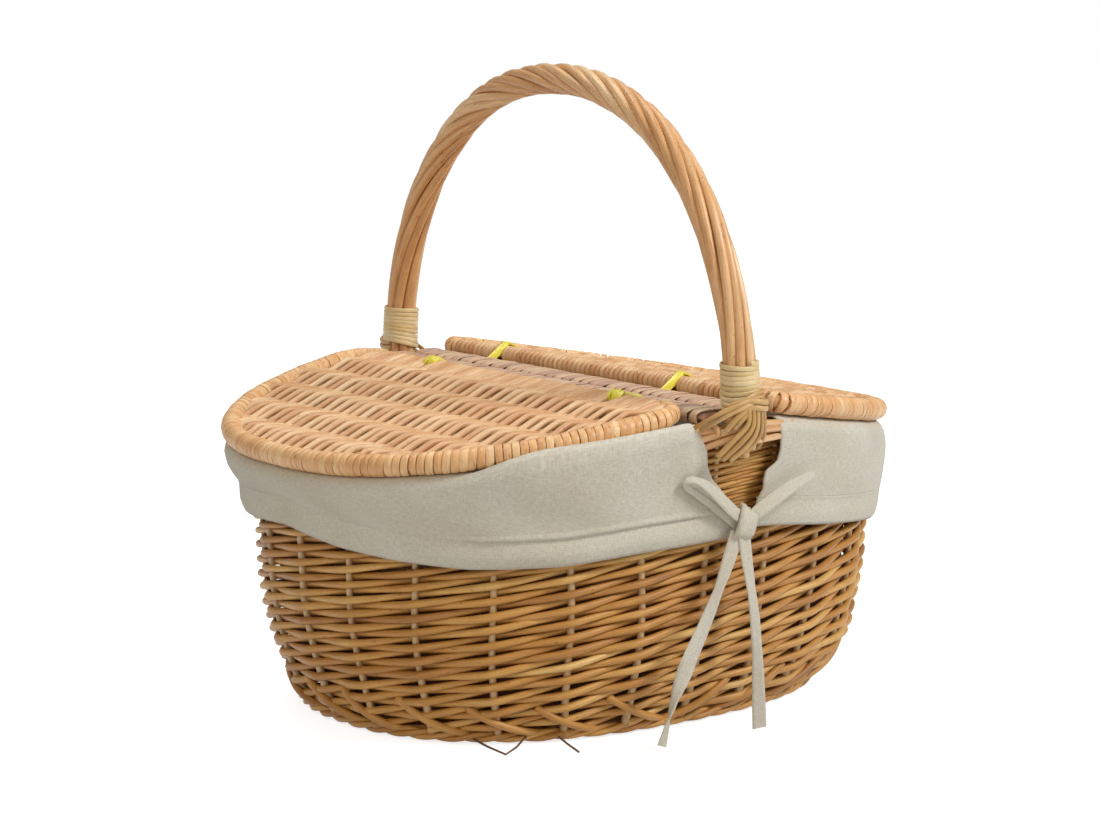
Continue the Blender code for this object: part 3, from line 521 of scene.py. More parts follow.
def stakeRods():
    rng = np.random.RandomState(9)
    rods = []
    extra = [half + x / spacing for half in (0, body["stakes"] / 2) for x in side["footStakes"]]
    for k in [*range(body["stakes"]), *extra]:
        atFoot = k % 1 > 0
        z = np.linspace(side["footFrom"] if atFoot else 3 * mm,
                        rimBy(angleAt(k)) - body["border"] / 2, 26)
        depth = np.interp(z, [6 * mm, 36 * mm], [-4.6 * mm, side["middle"] - 0.3 * mm])
        if atFoot:
            depth[:] = side["footDepth"]
        size = side["stakeRadius"] * np.interp(z, [6 * mm, 50 * mm], [1.2, 1])
        path, normal = wallPoint(k + 0.02 * np.sin(z * 60 + k), z, depth)
        rods.append(rod(path, size * rng.uniform(0.92, 1.05), normal, rng.uniform(0.2, 1)))
    return rods


# Foot: the base's edge row, and beside each stake a rod that slants away from the front middle

foot = {
    "edgeRadius": 1.9 * mm, "strands": 3, "twist": 0.75, "edgeHeight": 2.4 * mm,
    "edgeDepth": 2.4 * mm, "lift": 1.5 * mm, "sway": 2 * mm,
    "rodRadius": 2.25 * mm, "start": -0.42, "reach": 1.15, "low": 1.6 * mm, "rise": 20 * mm,
    "depth": -9 * mm, "out": 7.2 * mm,
}


def footRods():
    rng = np.random.RandomState(23)
    rods = []
    radius = foot["edgeRadius"]
    turns = np.arange(body["stakes"] * 16 + 1) / 16
    for strand in range(foot["strands"]):
        phase = 2 * pi * (turns * foot["twist"] - strand / foot["strands"])
        z = foot["edgeHeight"] + foot["lift"] * np.sin(phase)
        depth = foot["sway"] * np.cos(phase) - radius - foot["edgeDepth"]
        path, normal = wallPoint(turns, z, depth)
        rods.append(rod(path, radius * rng.uniform(0.85, 1), normal, rng.uniform(0, 0.7)))
    share = np.linspace(0, 1, 20)
    for k in range(body["stakes"]):
        start = k + foot["start"] + rng.uniform(-0.06, 0.06)
        u = start + (foot["reach"] + rng.uniform(-0.1, 0.1)) * share
        fall = share if k < body["stakes"] / 2 else 1 - share
        z = foot["low"] + (foot["rise"] + rng.uniform(-2, 3) * mm) * fall ** 1.15
        depth = foot["depth"] + foot["out"] * np.sin(pi * (1 - 0.9 * fall)) ** 0.6
        path, normal = wallPoint(u, z, depth)
        rods.append(rod(path, foot["rodRadius"], normal, rng.uniform(0, 0.8)))
    return rods


makeRods("side_weaving", sideRods(), goldenWillow, "basket", "golden_willow", "side_weave")
makeRods("upsett_waling", footRods(), goldenWillow, "basket", "golden_willow", "upsett_wale")
makeRods("side_stakes", stakeRods(), stakeWillow, "basket", "golden_willow",
         "stakes_and_border")
print("side woven")


# Border: the stakes' own ends rolled over, a slack bundle with a slow twist

border = {"rods": 6, "rodRadius": 2.35 * mm, "ringRadius": 3.2 * mm, "twist": 110 * mm,
          "steps": 560}


def borderRods():
    rng = np.random.RandomState(31)
    u = onceRound(border["steps"])
    angle = angleAt(u)
    middle, z = borderMiddle(angle)
    flat = unit(oval(angle, mm) - oval(angle, 0))
    twists = round(fineRun[-1] / border["twist"])
    rods = []
    for k in range(border["rods"]):
        turn = 2 * pi * (k / border["rods"] + twists * u / body["stakes"])
        out, up = border["ringRadius"] * np.array([np.cos(turn), np.sin(turn)])
        rods.append(rod(np.column_stack([middle + flat * out[:, None], z + up]),
                        border["rodRadius"], (0, 0, 1), rng.uniform(0.2, 0.8), closed=True))
    return rods


makeRods("rolled_border", borderRods(), goldenWillow, "basket", "golden_willow")


# Base: an oval slath of radial sticks with thin rods woven round it

base = {"rodRadius": 1.7 * mm, "stickRadius": 2.0 * mm, "pitch": 3.7 * mm, "middle": 5.0 * mm,
        "swing": 2.2 * mm, "edge": 6.5 * mm, "hub": 6 * mm,
        # two thin rod ends that stick out under the front edge, in mm
        "strays": (((-123, -80, 4), (-124, -98, 2.4), (-124, -114.5, 1.6), (-112, -108, 2.2),
                    (-99, -100, 5)),
                   ((-82, -104, 4), (-86, -120, 2.4), (-90, -135, 1.8)))}


def baseRods():
    rng = np.random.RandomState(41)
    rods = []
    outer = -body["footInset"] - base["edge"]
    u = onceRound(body["stakes"] * 8)
    angle = angleAt(u)
    for k in range(int((body["halfWidth"] + outer - base["hub"]) / base["pitch"])):
        path = np.column_stack([oval(angle, outer - k * base["pitch"]),
                                base["middle"] + base["swing"] * np.cos(pi * (u + k))])
        rods.append(rod(path, base["rodRadius"], (0, 0, 1), rng.uniform(0.2, 0.9), closed=True))
    for k in range(body["stakes"]):
        flat = np.linspace(oval(angleAt(k), outer + 6 * mm),
                           oval(angleAt(k), -body["halfWidth"] + 9 * mm), 12)
        path = np.column_stack([flat, np.full(12, base["middle"])])
        rods.append(rod(path, base["stickRadius"], (0, 0, 1), rng.uniform(0, 1)))
    return rods


strays = [rod(np.array(points) * mm, 0.65 * mm, (0, 0, 1), 0.3 + 0.4 * k)
          for k, points in enumerate(base["strays"])]
# the stray ends take the brown willow painted darker as shade
makeRods("stray_rod_ends", strays, paintedShadeStick, "basket", "golden_willow", sides=6)
makeRods("base_weaving", baseRods(), goldenWillow, "basket", "golden_willow", "base_weave",
         sides=6)
print("border and base made")


# Handle: eight rods roped round the bow, straight at the feet and slanting over the top

handle = {
    "rods": 8, "rodRadius": 2.72 * mm, "outerRadius": 9.5 * mm, "topRadius": 9.1 * mm,
    "sidePower": 2.15, "topPower": 1.96, "spring": 186 * mm, "rise": 171 * mm,
    "legY": float(boxOf("handle_roping")[1][1]) - 9.5 * mm, "foot": 177 * mm,
    "slant": 0.4, "footSlant": 0.07, "footShare": 0.38,
}


def archLine(count):
    angle = np.linspace(0, pi, 721)
    y = -handle["legY"] * bent(np.cos(angle), 2 / handle["sidePower"])
    z = handle["spring"] + handle["rise"] * np.abs(np.sin(angle)) ** (2 / handle["topPower"])
    leg = np.linspace([0, -handle["legY"], handle["foot"]],
                      [0, -handle["legY"], handle["spring"]], 8)[:-1]
    arch = np.column_stack([0 * y, y, z])
    return spaced(np.vstack([leg, arch, leg[::-1] * (1, -1, 1)]), count)


def ropedRods():
    rng = np.random.RandomState(51)
    line, at = archLine(260)
    across = np.array([1.0, 0, 0])
    outward = np.cross(across, unit(np.gradient(line, axis=0)))
    share = at / at[-1]
    edge = np.clip(np.minimum(share, 1 - share) / handle["footShare"], 0, 1)
    lean = handle["footSlant"] + (handle["slant"] - handle["footSlant"]) * edge ** 1.6
    thinner = handle["topRadius"] - handle["outerRadius"]
    outer = handle["outerRadius"] + thinner * np.sin(pi * share)
    rate = -lean / outer
    spin = summed((rate[1:] + rate[:-1]) / 2 * np.diff(at))
    rods = []
    for k in range(handle["rods"]):
        turn = 2 * pi * k / handle["rods"] + spin + 0.06 * np.sin(share * 9 + k * 2.3)
        size = handle["rodRadius"] * rng.uniform(0.96, 1.06) * (
            1 + 0.03 * np.sin(share * 14 + k * 1.9))
        radius = outer - handle["rodRadius"] + 0.15 * mm * np.sin(share * 11 + k)
        radial = np.cos(turn)[:, None] * across + np.sin(turn)[:, None] * outward
        rods.append(rod(line + radial * radius[:, None], size, radial, rng.uniform(0.1, 0.95),
                        flat=0.96))
    return rods


makeRods("handle_roped_rods", ropedRods(), ropedWillow, "basket", "handle_willow",
         "handle_roping", sides=10)


# Binding: split cane wound tight round each foot of the handle

binding = {"turns": 9, "low": 186.5 * mm, "high": 210 * mm, "width": 2.75 * mm, "flat": 0.5,
           "tilt": 2.6 * mm, "out": 0.75 * mm, "steps": 20}


def bindingRods():
    rng = np.random.RandomState(61)
    steps, turns = binding["steps"], binding["turns"]
    count = turns * steps + 1
    share = np.linspace(0, 1, count)
    z = binding["low"] + (binding["high"] - binding["low"]) * share
    line = archLine(400)[0]
    rising = line[:len(line) // 3]
    centre = np.column_stack([0 * z, np.interp(z, rising[:, 2], rising[:, 1]), z])
    turn = 2 * pi * share * turns + pi / 2
    radial = np.column_stack([np.cos(turn), -np.sin(turn), 0 * z])
    jitter = np.repeat(rng.normal(0, 0.18 * mm, turns + 2), steps)[:count]
    jitter = np.convolve(np.pad(jitter, 8, "edge"), np.ones(17) / 17, "valid")
    path = centre + radial * (handle["outerRadius"] + binding["out"])
    path[:, 2] += jitter + binding["tilt"] * (1 - share) * np.cos(turn)
    tone = np.repeat(rng.uniform(0.2, 0.9, turns + 1), steps)[:count]
    return rod(path, binding["width"] / 2, radial, tone, flat=binding["flat"], square=0.75)


front = bindingRods()
back = {**front, "path": halfTurn(front["path"]), "normal": halfTurn(front["normal"])}
for tag, one in (("front", front), ("back", back)):
    makeRods("handle_cane_binding_" + tag, [one], splitCane, "basket", "cane",
             "handle_binding_" + tag)


# Cross lashing: split strands from the border over each foot, and the border rods' own ends
# carried across it. Each group has a radius and a flatness, then its strands, whose points are
# x, distance before the foot's middle, and z, in mm.

lashing = {
    "arms": (1.35, 0.75, ((-30, -5, 175.4), (-27, 5.5, 181.6), (-19.8, 10.8, 186.4),
                          (-5.5, 13.2, 190.6), (5.5, 11.4, 192), (11.6, 3.5, 192.6)),
             ((-24.6, -5, 174.6), (-21.7, 6, 180.2), (-16, 11.2, 184.7), (-4.7, 13.4, 188.2),
              (5, 11.8, 189.6), (11.8, 3, 190.4)),
             ((-16, 7, 188), (-10, 11.4, 190.4), (-2, 12.9, 193.2), (7, 10, 195))),
    "steep": (1.6, 0.8, ((-15.2, 6, 174.4), (-11.4, 11, 182), (-4.5, 13, 187.6)),
              ((-11.6, 8.6, 175.6), (-8, 12, 181.6), (-2, 13.2, 187))),
    "wraps": (1.55, 0.75, ((-6.4, 12.2, 190.6), (0, 15.2, 190), (7.6, 12.6, 188.8),
                           (12.2, 5.5, 188.4), (12.4, -2, 188.8)),
              ((-6.2, 12.4, 187), (0, 15.4, 186.6), (7.4, 12.8, 185.4), (12, 5.5, 185),
               (12.2, -2, 185.4))),
    "falls": (1.5, 0.85, ((-5.4, 13.4, 187), (-5.8, 13, 178), (-12, 9.8, 170.2),
                          (-18.6, 3.4, 160.4)),
              ((-2.6, 14, 187), (-2.9, 13.4, 176), (-8.8, 9.9, 167.2), (-15.6, 3.4, 158.4)),
              ((0.2, 14, 187), (0.5, 13.2, 174.6), (-2.9, 9.8, 166.3), (-10.2, 3.6, 157.4)),
              ((3, 13.6, 187), (5.2, 11.6, 175), (4, 9.4, 168.4), (-2.4, 4.6, 160)),
              ((5.4, 12.8, 186.6), (9.2, 9.4, 174), (11.6, 4.6, 167), (12.4, 0, 162))),
}
borderEnds = {
    "left": (2.0, 1.0, ((-34, -7, 172.4), (-25, -5, 173.2), (-16.5, -1, 174.4)),
             ((-36, -7.4, 167.4), (-23, -4.6, 169.2), (-14, 2.4, 172.8), (-4, 7.4, 176),
              (2, 8, 178)),
             ((-34, -8, 162.6), (-20.4, -5, 164.8), (-14, 1.4, 168), (-7, 5.6, 170.4),
              (1, 7, 173))),
    "right": (1.9, 1.0, ((4, 5, 176), (15, 1.5, 175.2), (33, -6, 173), (44, -7.6, 172)),
              ((3, 6, 172.4), (13.4, 3, 172), (34, -6, 169.8), (45, -8, 168.8)),
              ((1, 6.4, 167.4), (8.5, 5, 167), (35, -6.4, 165.4), (46, -8.6, 164.6))),
    "leg": (1.5, 1.0, ((7.6, 5, 176), (7.8, 4, 169), (7.9, 1, 162)),
            ((1.5, 4, 172), (1.8, 3, 166), (2, 0.5, 160)),
            ((-19.6, -1, 178.6), (-18, 2.2, 174.6), (-17, 1.6, 171.6))),
}


def footStrands(groups, turned):
    rods = []
    # the back foot's strands stay closer in, behind its binding
    closer = (0.75 if turned else 1, 1, 1)
    for number, (radius, flat, *strands) in enumerate(groups.values()):
        for k, points in enumerate(strands):
            path = smooth([(x, -forward, z) for x, forward, z in points], 30) * mm * closer
            normal = path * (1, 1, 0)
            path[:, 1] -= handle["legY"]
            # a split strand thickens along its length
            taper = 1 + (0.12 * np.linspace(-1, 1, 30) if radius < 1.55 else np.zeros(30))
            tone = 0.3 + 0.4 * ((number * 3 + k * 5) % 7) / 7
            if turned:
                path, normal = halfTurn(path), halfTurn(normal)
            rods.append(rod(path, radius * mm * taper, normal, tone, flat=flat, square=0.9))
    return rods


for tag, turned in (("front", False), ("back", True)):
    over = "foot_lashing_" + tag
    makeRods("foot_cross_lashing_" + tag, footStrands(lashing, turned), lashingWillow, "basket",
             "cane", over + "_over", over + "_under")
    makeRods("border_rod_ends_" + tag, footStrands(borderEnds, turned), ropedWillow, "basket",
             "golden_willow", sides=10)
print("handle roped and bound")


# Bar: flat skeins wound round each of the two sticks

bar = {"pitch": 8 * mm, "width": 7.1 * mm, "thickness": 1.1 * mm, "square": 0.62, "steps": 20}


def skeinRods(sideName):
    low, high = boxOf("bar_skein_" + sideName)
    rng = np.random.RandomState(71 if sideName == "left" else 72)
    centre = (low + high) / 2
    wide, _, tall = (high - low) / 2 - bar["thickness"] / 2
    angle = np.linspace(0, 2 * pi, bar["steps"] + 1)
    x, z = wide * bent(np.cos(angle), bar["square"]), tall * bent(np.sin(angle), bar["square"])
    normal = unit(np.stack([x / wide ** 2, 0 * x, z / tall ** 2], -1))
    rods = []
    for k in range(round((high[1] - low[1]) / bar["pitch"])):
        tilt = rng.normal(0, 0.8 * mm)
        y = low[1] + bar["pitch"] * (k + angle / (2 * pi)) + tilt * np.cos(angle)
        path = np.stack([centre[0] + x, np.clip(y, low[1] + mm, high[1] - mm), centre[2] + z], -1)
        lift = rng.uniform(0, 0.35 * mm)
        rods.append(rod(path + normal * lift, bar["width"] / 2 * rng.uniform(0.85, 1.06), normal,
                        rng.uniform(0, 1), flat=0.15, blunt=False))
    return rods


bothSides = (("left", False), ("right", True))
for sideName, turned in bothSides:
    makeRods("bar_wound_skein_" + sideName, skeinRods(sideName), brownSkein, "basket",
             "brown_skein", "bar_skein_" + sideName)
print("bar wound")


# Lids: rods looped over the hinge rail, woven over and under ribs, with a coiled edge

lid = {
    "overhang": 5 * mm, "railRadius": 6.25 * mm, "rodRadius": 2.02 * mm, "pitch": 4.5 * mm,
    "ribRadius": 2.0 * mm, "ribs": 5, "middle": 0.3 * mm, "sharp": 0.985, "edge": 9 * mm,
    "coilPitch": 4.5 * mm, "coilWidth": 4.5 * mm, "coilFlat": 0.42, "coilSteps": 16,
    "thinning": 34 * mm, "core": 1.9 * mm,
    "tieGap": 3.6 * mm, "parted": 14 * mm, "stray": 0.8 * mm,
    # each lid's rounding at the hinge corners, its rail's radius and where its ties are
    "left": {"corner": 20 * mm, "rail": 4.2 * mm, "ties": (-96 * mm, 80 * mm)},
    "right": {"corner": 9 * mm, "rail": 6.25 * mm, "ties": (-95 * mm, 72 * mm)},
}


def lidLine(own):
    # middle of the lid's edge, flat, x out from the hinge: outer curve, corners, rail
    out = lid["overhang"] - lid["railRadius"]
    turnIn = (hingeX + own["corner"]) / (body["halfLength"] + out)
    start = np.arccos(turnIn ** (body["power"] / 2))
    x, y = oval(np.linspace(-start, start, 400), out).T
    arc = np.column_stack([(x - hingeX) / cos(lidSlope), y])
    corner = np.array([0, y[-1]])
    railEnd = np.array([0, y[-1] - own["corner"]])
    t = np.linspace(0, 1, 30)[1:, None]
    bend = arc[-1] * (1 - t) ** 2 + corner * 2 * t * (1 - t) + railEnd * t ** 2
    return np.vstack([(bend * (1, -1))[::-1], arc, bend])


def toWorld(points, turned):
    # lid's own frame to the row frame; the right lid is the left one after half a turn
    x, y, z = np.moveaxis(np.asarray(points, float), -1, 0)
    c, s = cos(lidSlope), sin(lidSlope)
    world = np.stack([-hingeX - x * c - z * s, -y, hingeZ - x * s + z * c], -1)
    return halfTurn(world) if turned else world


def lidRod(turned, path, radius, normal, tone, **form):
    normal = toWorld(normal, turned) - toWorld(np.zeros(3), turned)
    return rod(toWorld(path, turned), radius, normal, tone, **form)


def perTurn(rng, sigma, count):
    # a random value at each turn of the coil, and even change between the turns
    turns = count // lid["coilSteps"] + 2
    return np.interp(np.arange(count) / lid["coilSteps"], np.arange(turns),
                     rng.normal(0, sigma, turns))


def edgeCoil(own, turned, seed):
    rng = np.random.RandomState(seed)
    steps = lid["coilSteps"]
    line, at = spaced(lidLine(own), step=lid["coilPitch"] / steps)
    count = len(line)
    ahead = unit(np.gradient(line, axis=0))
    out = np.column_stack([ahead[:, 1], -ahead[:, 0], np.zeros(count)])
    flat = np.column_stack([line, np.zeros(count)])
    # the edge thins towards the rail's two ends
    full = np.clip(np.minimum(at, at[-1] - at) / lid["thinning"], 0, 1)
    outer = own["rail"] + (lid["railRadius"] - own["rail"]) * full
    turn = 2 * pi * np.arange(count) / steps + 1.3 * pi     # each turn starts under the edge
    half = lid["coilWidth"] / 2
    radius = outer - half * lid["coilFlat"] + perTurn(rng, 0.16 * mm, count)
    radial = np.cos(turn)[:, None] * out + np.sin(turn)[:, None] * np.array([0, 0, 1.0])
    path = flat + radial * radius[:, None]
    path[:, :2] += ahead * (perTurn(rng, 0.5 * mm, count) * np.cos(turn + 1))[:, None]
    tone = np.repeat(rng.uniform(0, 1, count // steps + 2), steps)[:count]
    coil = lidRod(turned, path, half * (1 + perTurn(rng, 0.07, count)), radial, tone,
                  flat=lid["coilFlat"], square=0.62)
    return [coil, lidRod(turned, flat[::8], outer[::8] - lid["core"], (0, 0, 1), 0)]


def panelRods(own, turned, seed):
    rng = np.random.RandomState(seed)
    line = lidLine(own)
    widest, halfWidth = line.max(0)
    ribGap = (widest - lid["railRadius"]) / (lid["ribs"] + 0.35)
    ribX = ribGap * (np.arange(lid["ribs"]) + 0.85)
    stops = np.arange(lid["ribs"] + 2)      # the rail, each rib and the outer edge
    loop = np.radians(np.linspace(-50, -270, 16))
    around = np.column_stack([np.cos(loop), 0 * loop, np.sin(loop)])
    rods, ribs = [], []
    number = int(2 * (halfWidth - lid["edge"]) / lid["pitch"])
    for k in range(number):
        y = (k - (number - 1) / 2) * lid["pitch"]
        # the rods part where a tie goes between them
        off = y + own["ties"][0 if y > 0 else 1]
        aside = np.copysign(lid["tieGap"] * max(0, 1 - abs(off) / lid["parted"]), off)
        outer = line[line[:, 0] >= widest * 0.1]
        end = outer[np.argmin(np.abs(outer[:, 1] - y)), 0] - 2.5 * mm
        r = lid["rodRadius"] * rng.uniform(0.9, 1.08)
        hold = own["rail"] - r
        x = np.linspace(0, end, 60)[4:]
        phase = np.interp(x, [0, *ribX, ribX[-1] + ribGap], stops)
        wave = zigzag(phase - 1, lid["sharp"]) * (1 if k % 2 else -1)
        z = lid["middle"] + (lid["rodRadius"] + lid["ribRadius"]) * wave
        first = np.clip(x / ribX[0], 0, 1)
        z = hold * (1 - eased(first)) + z * eased(first)
        last = np.clip((end - x) / lid["edge"], 0, 1)
        z = z * last + 0.5 * mm * (1 - last)
        drift = np.interp(phase, stops, rng.normal(0, lid["stray"], len(stops)))
        across = y + drift * first + aside * (1 - eased(first))
        path = np.vstack([around * hold + (0, y + aside, 0), np.column_stack([x, across, z])])
        normal = np.vstack([around, np.tile([0, 0, 1.0], (len(x), 1))])
        rods.append(lidRod(turned, path, r, normal, rng.uniform(0.05, 0.95), flat=0.92))
    for x in ribX:
        half = line[np.abs(line[:, 0] - x) < 3 * mm][:, 1].max() - 2 * mm
        path = np.linspace((x, -half, lid["middle"]), (x, half, lid["middle"]), 60)
        ribs.append(lidRod(turned, path, lid["ribRadius"], (0, 0, 1), rng.uniform(0, 1)))
    return rods, ribs


for sideName, turned in bothSides:
    seed, rider, own = 90 if turned else 80, sideName + "_lid", lid[sideName]
    makeRods("lid_coiled_edge_" + sideName, edgeCoil(own, turned, seed), coiledWillow, rider,
             "lid_willow", "lid_edge_" + sideName)
    rods, ribs = panelRods(own, turned, seed + 1)
    makeRods("lid_woven_panel_" + sideName, rods, peachWillow, rider, "lid_willow",
             "lid_weave_" + sideName)
    makeRods("lid_ribs_" + sideName, ribs, stakeWillow, rider, "peeled_rod",
             *["lid_rib_%s_%d" % (sideName, i + 1) for i in range(lid["ribs"])])
print("lids woven")


# Hinge ties: three turns of yellow strap round the rail, that go in between the turns of the
# bar's winding; at the left front one turn lies over the bar

tie = {"across": (-4, 0, 4), "halfWidth": 2.4 * mm, "clear": 0.9 * mm, "crumple": 0.5 * mm,
       "steps": 36, "start": 0.2,
       # the loop by the bar, from its winding's edge in mm: middle, half width, half height
       "under": (2.5, 2, 2), "over": (1.5, 7, 5.8)}


def tieRods(y, over, own, turned):
    rng = np.random.RandomState(7)
    low, high = boxOf("bar_skein_left")
    stick = (low + high) / 2
    rail = np.array([-hingeX, 0, hingeZ])
    middle = (rail + stick) / 2
    middle[1] = y
    angle = 2 * pi * np.arange(tie["steps"]) / tie["steps"] + tie["start"]
    c, s = np.cos(angle), np.sin(angle)
    share = np.clip(0.5 - 0.9 * c, 0, 1)
    rods = []
    for number, atRail in enumerate(tie["across"]):
        crumple = tie["crumple"] * np.sin(3 * angle + rng.uniform(0, 6))
        reach = own["rail"] + tie["clear"] + crumple
        inward, wide, tall = tie["over" if number < over else "under"]
        x = np.where(c > 0, low[0] + (inward + wide * bent(c, 0.8)) * mm, rail[0] + reach * c)
        z = np.where(c > 0, stick[2] + (tall * mm + 0.4 * crumple) * s, rail[2] + reach * s)
        path = np.column_stack([x, y + atRail * share * mm, z])
        normal = path - middle
        if turned:
            path, normal = halfTurn(path), halfTurn(normal)
        rods.append(rod(path, tie["halfWidth"] * (0.8 + 0.35 * share), normal, rng.uniform(0, 1),
                        flat=0.3, closed=True, square=0.8))
    return rods


for sideName, turned in bothSides:
    own = lid[sideName]
    for tag, y in zip(("front", "back"), own["ties"]):
        name = sideName + "_" + tag
        makeRods("yellow_tie_" + name, tieRods(y, name == "left_front", own, turned), boxStrap,
                 "basket", "yellow_tie", "hinge_tie_" + name)
print("hinge ties wound")


# Liner: cloth grids, rows up the cloth and columns round the basket

def clothPiece(name, grid, thickness, around):
    index = np.arange(grid[..., 0].size).reshape(grid.shape[:2])
    piece = newObject(name, grid.reshape(-1, 3), gridFaces(index, wrap=around), washedLinen)
    closing = grid[:, :1] if around else grid[:, -1:]
    across = np.linalg.norm(np.diff(grid, axis=1, append=closing), axis=2).mean(0)
    up = np.linalg.norm(np.diff(grid, axis=0), axis=2).mean(1)
    places = np.broadcast_arrays(np.cumsum(across), summed(up)[:, None], 0.0)
    addMap(piece, "clothMap", np.stack(places, -1))
    solid = piece.modifiers.new("cloth", "SOLIDIFY")
    solid.thickness = thickness
    solid.offset = 1
    return piece, solid


flap = {
    "thickness": 1.0 * mm, "hemEase": 2.0 * mm, "rimEase": 2.0 * mm, "wallEase": 1.3 * mm,
    "casing": 17 * mm, "drop": 61.5 * mm, "columns": 300, "rows": 26, "seed": 5, "waves": 9,
    # height as a share of hem to border, and how far out the cloth stands there
    "stand": ((0.0, 0.0), (0.09, 0.14), (0.24, 0.14), (0.38, 0.3), (0.58, 0.52), (0.8, 0.8),
              (1.0, 1.0)),
    # height of the hem in mm by distance round the border from the front middle, in mm
    "leftHem": ((-560, 112), (-430, 113), (-342, 115), (-288, 117.5), (-237, 111),
                (-198, 107.5), (-158, 104.5), (-106, 105), (-58, 109), (0, 111)),
    "rightHem": ((-540, 115), (-527, 114), (-509, 112), (-489, 109.5), (-458, 106),
                 (-423, 102.5), (-368, 103.5), (-268, 106), (-100, 110), (0, 111)),
    # the V at each handle foot: heights and x of either cloth edge, in mm
    "leftEdge": ((111, 8.8), (119, 8), (126.5, 6.3), (134.5, -1.5), (146, -13.7),
                 (154.5, -18.6), (164.5, -20.3), (170, -25)),
    "rightEdge": ((111, 18), (119, 22.5), (126.5, 23), (133, 26), (139, 25), (144.5, 25.6),
                  (149.5, 33), (157.5, 34), (166, 33), (170, 32)),
    # the doubled casing's seam: height over the hem and how far out, then the lip above it
    "casingRows": 9, "casingTop": 14.6, "casingSwell": 0.9, "clothFrom": 18.5 * mm,
    "seam": ((15.4, 0.5), (16.4, 0.1), (16.9, -0.7), (16.4, 0.3), (15.9, 1.3), (16.2, 1.9),
             (17.2, 2.1)),
    # the seam shows only along this part of the front
    "seamRun": (-190 * mm, -150 * mm),
    # the billow beside the front foot, by y, x and x in mm, its lift in mm by x, and how far out
    "puffFront": ((-20, 1), (0, 0)), "puffRise": ((-160, 0), (-110, 1)),
    "puffFall": ((-34, 1), (-26, 0)), "puffLift": ((-105, 10.9), (-36, 7.2)),
    "puffOut": 5.6 * mm,
    # over the border, by half turns: the cloth's rows, the billow's ridge and its back
    "over": (0.06, 0.12, 0.19, 0.26, 0.36, 0.48, 0.6, 0.8, 1.0), "overEase": 0.8 * mm,
    "ridge": ((0, 0.35), (0.06, 0.8), (0.12, 1), (0.19, 0.6), (0.28, 0), (1, 0)),
    "back": ((0, 1), (0.12, 0.95), (0.3, 0.3), (0.5, 0), (1, 0)),
}


def frontRun(x):
    # distance round the border from the front middle to x, less than zero to the left
    angle = -np.arccos(bent(x / body["halfLength"], body["power"] / 2))
    left = angle < -pi / 2
    return np.interp(angle + 2 * pi * left, fineAngle, fineRun) - fineRun[-1] * left


def puffAt(x, y):
    # beside the front foot the cloth billows out and up over the lid's edge
    rise = eased(table(flap["puffRise"], x / mm))
    return table(flap["puffFront"], y / mm) * rise * table(flap["puffFall"], x / mm)


def heightAt(up, hem, middle):
    # the casing keeps its height, and the cloth over it is stretched up to the border
    low = np.minimum(up, flap["casing"])
    return hem + low + (middle - hem - flap["casing"]) * (up - low) / (
        flap["drop"] - flap["casing"])


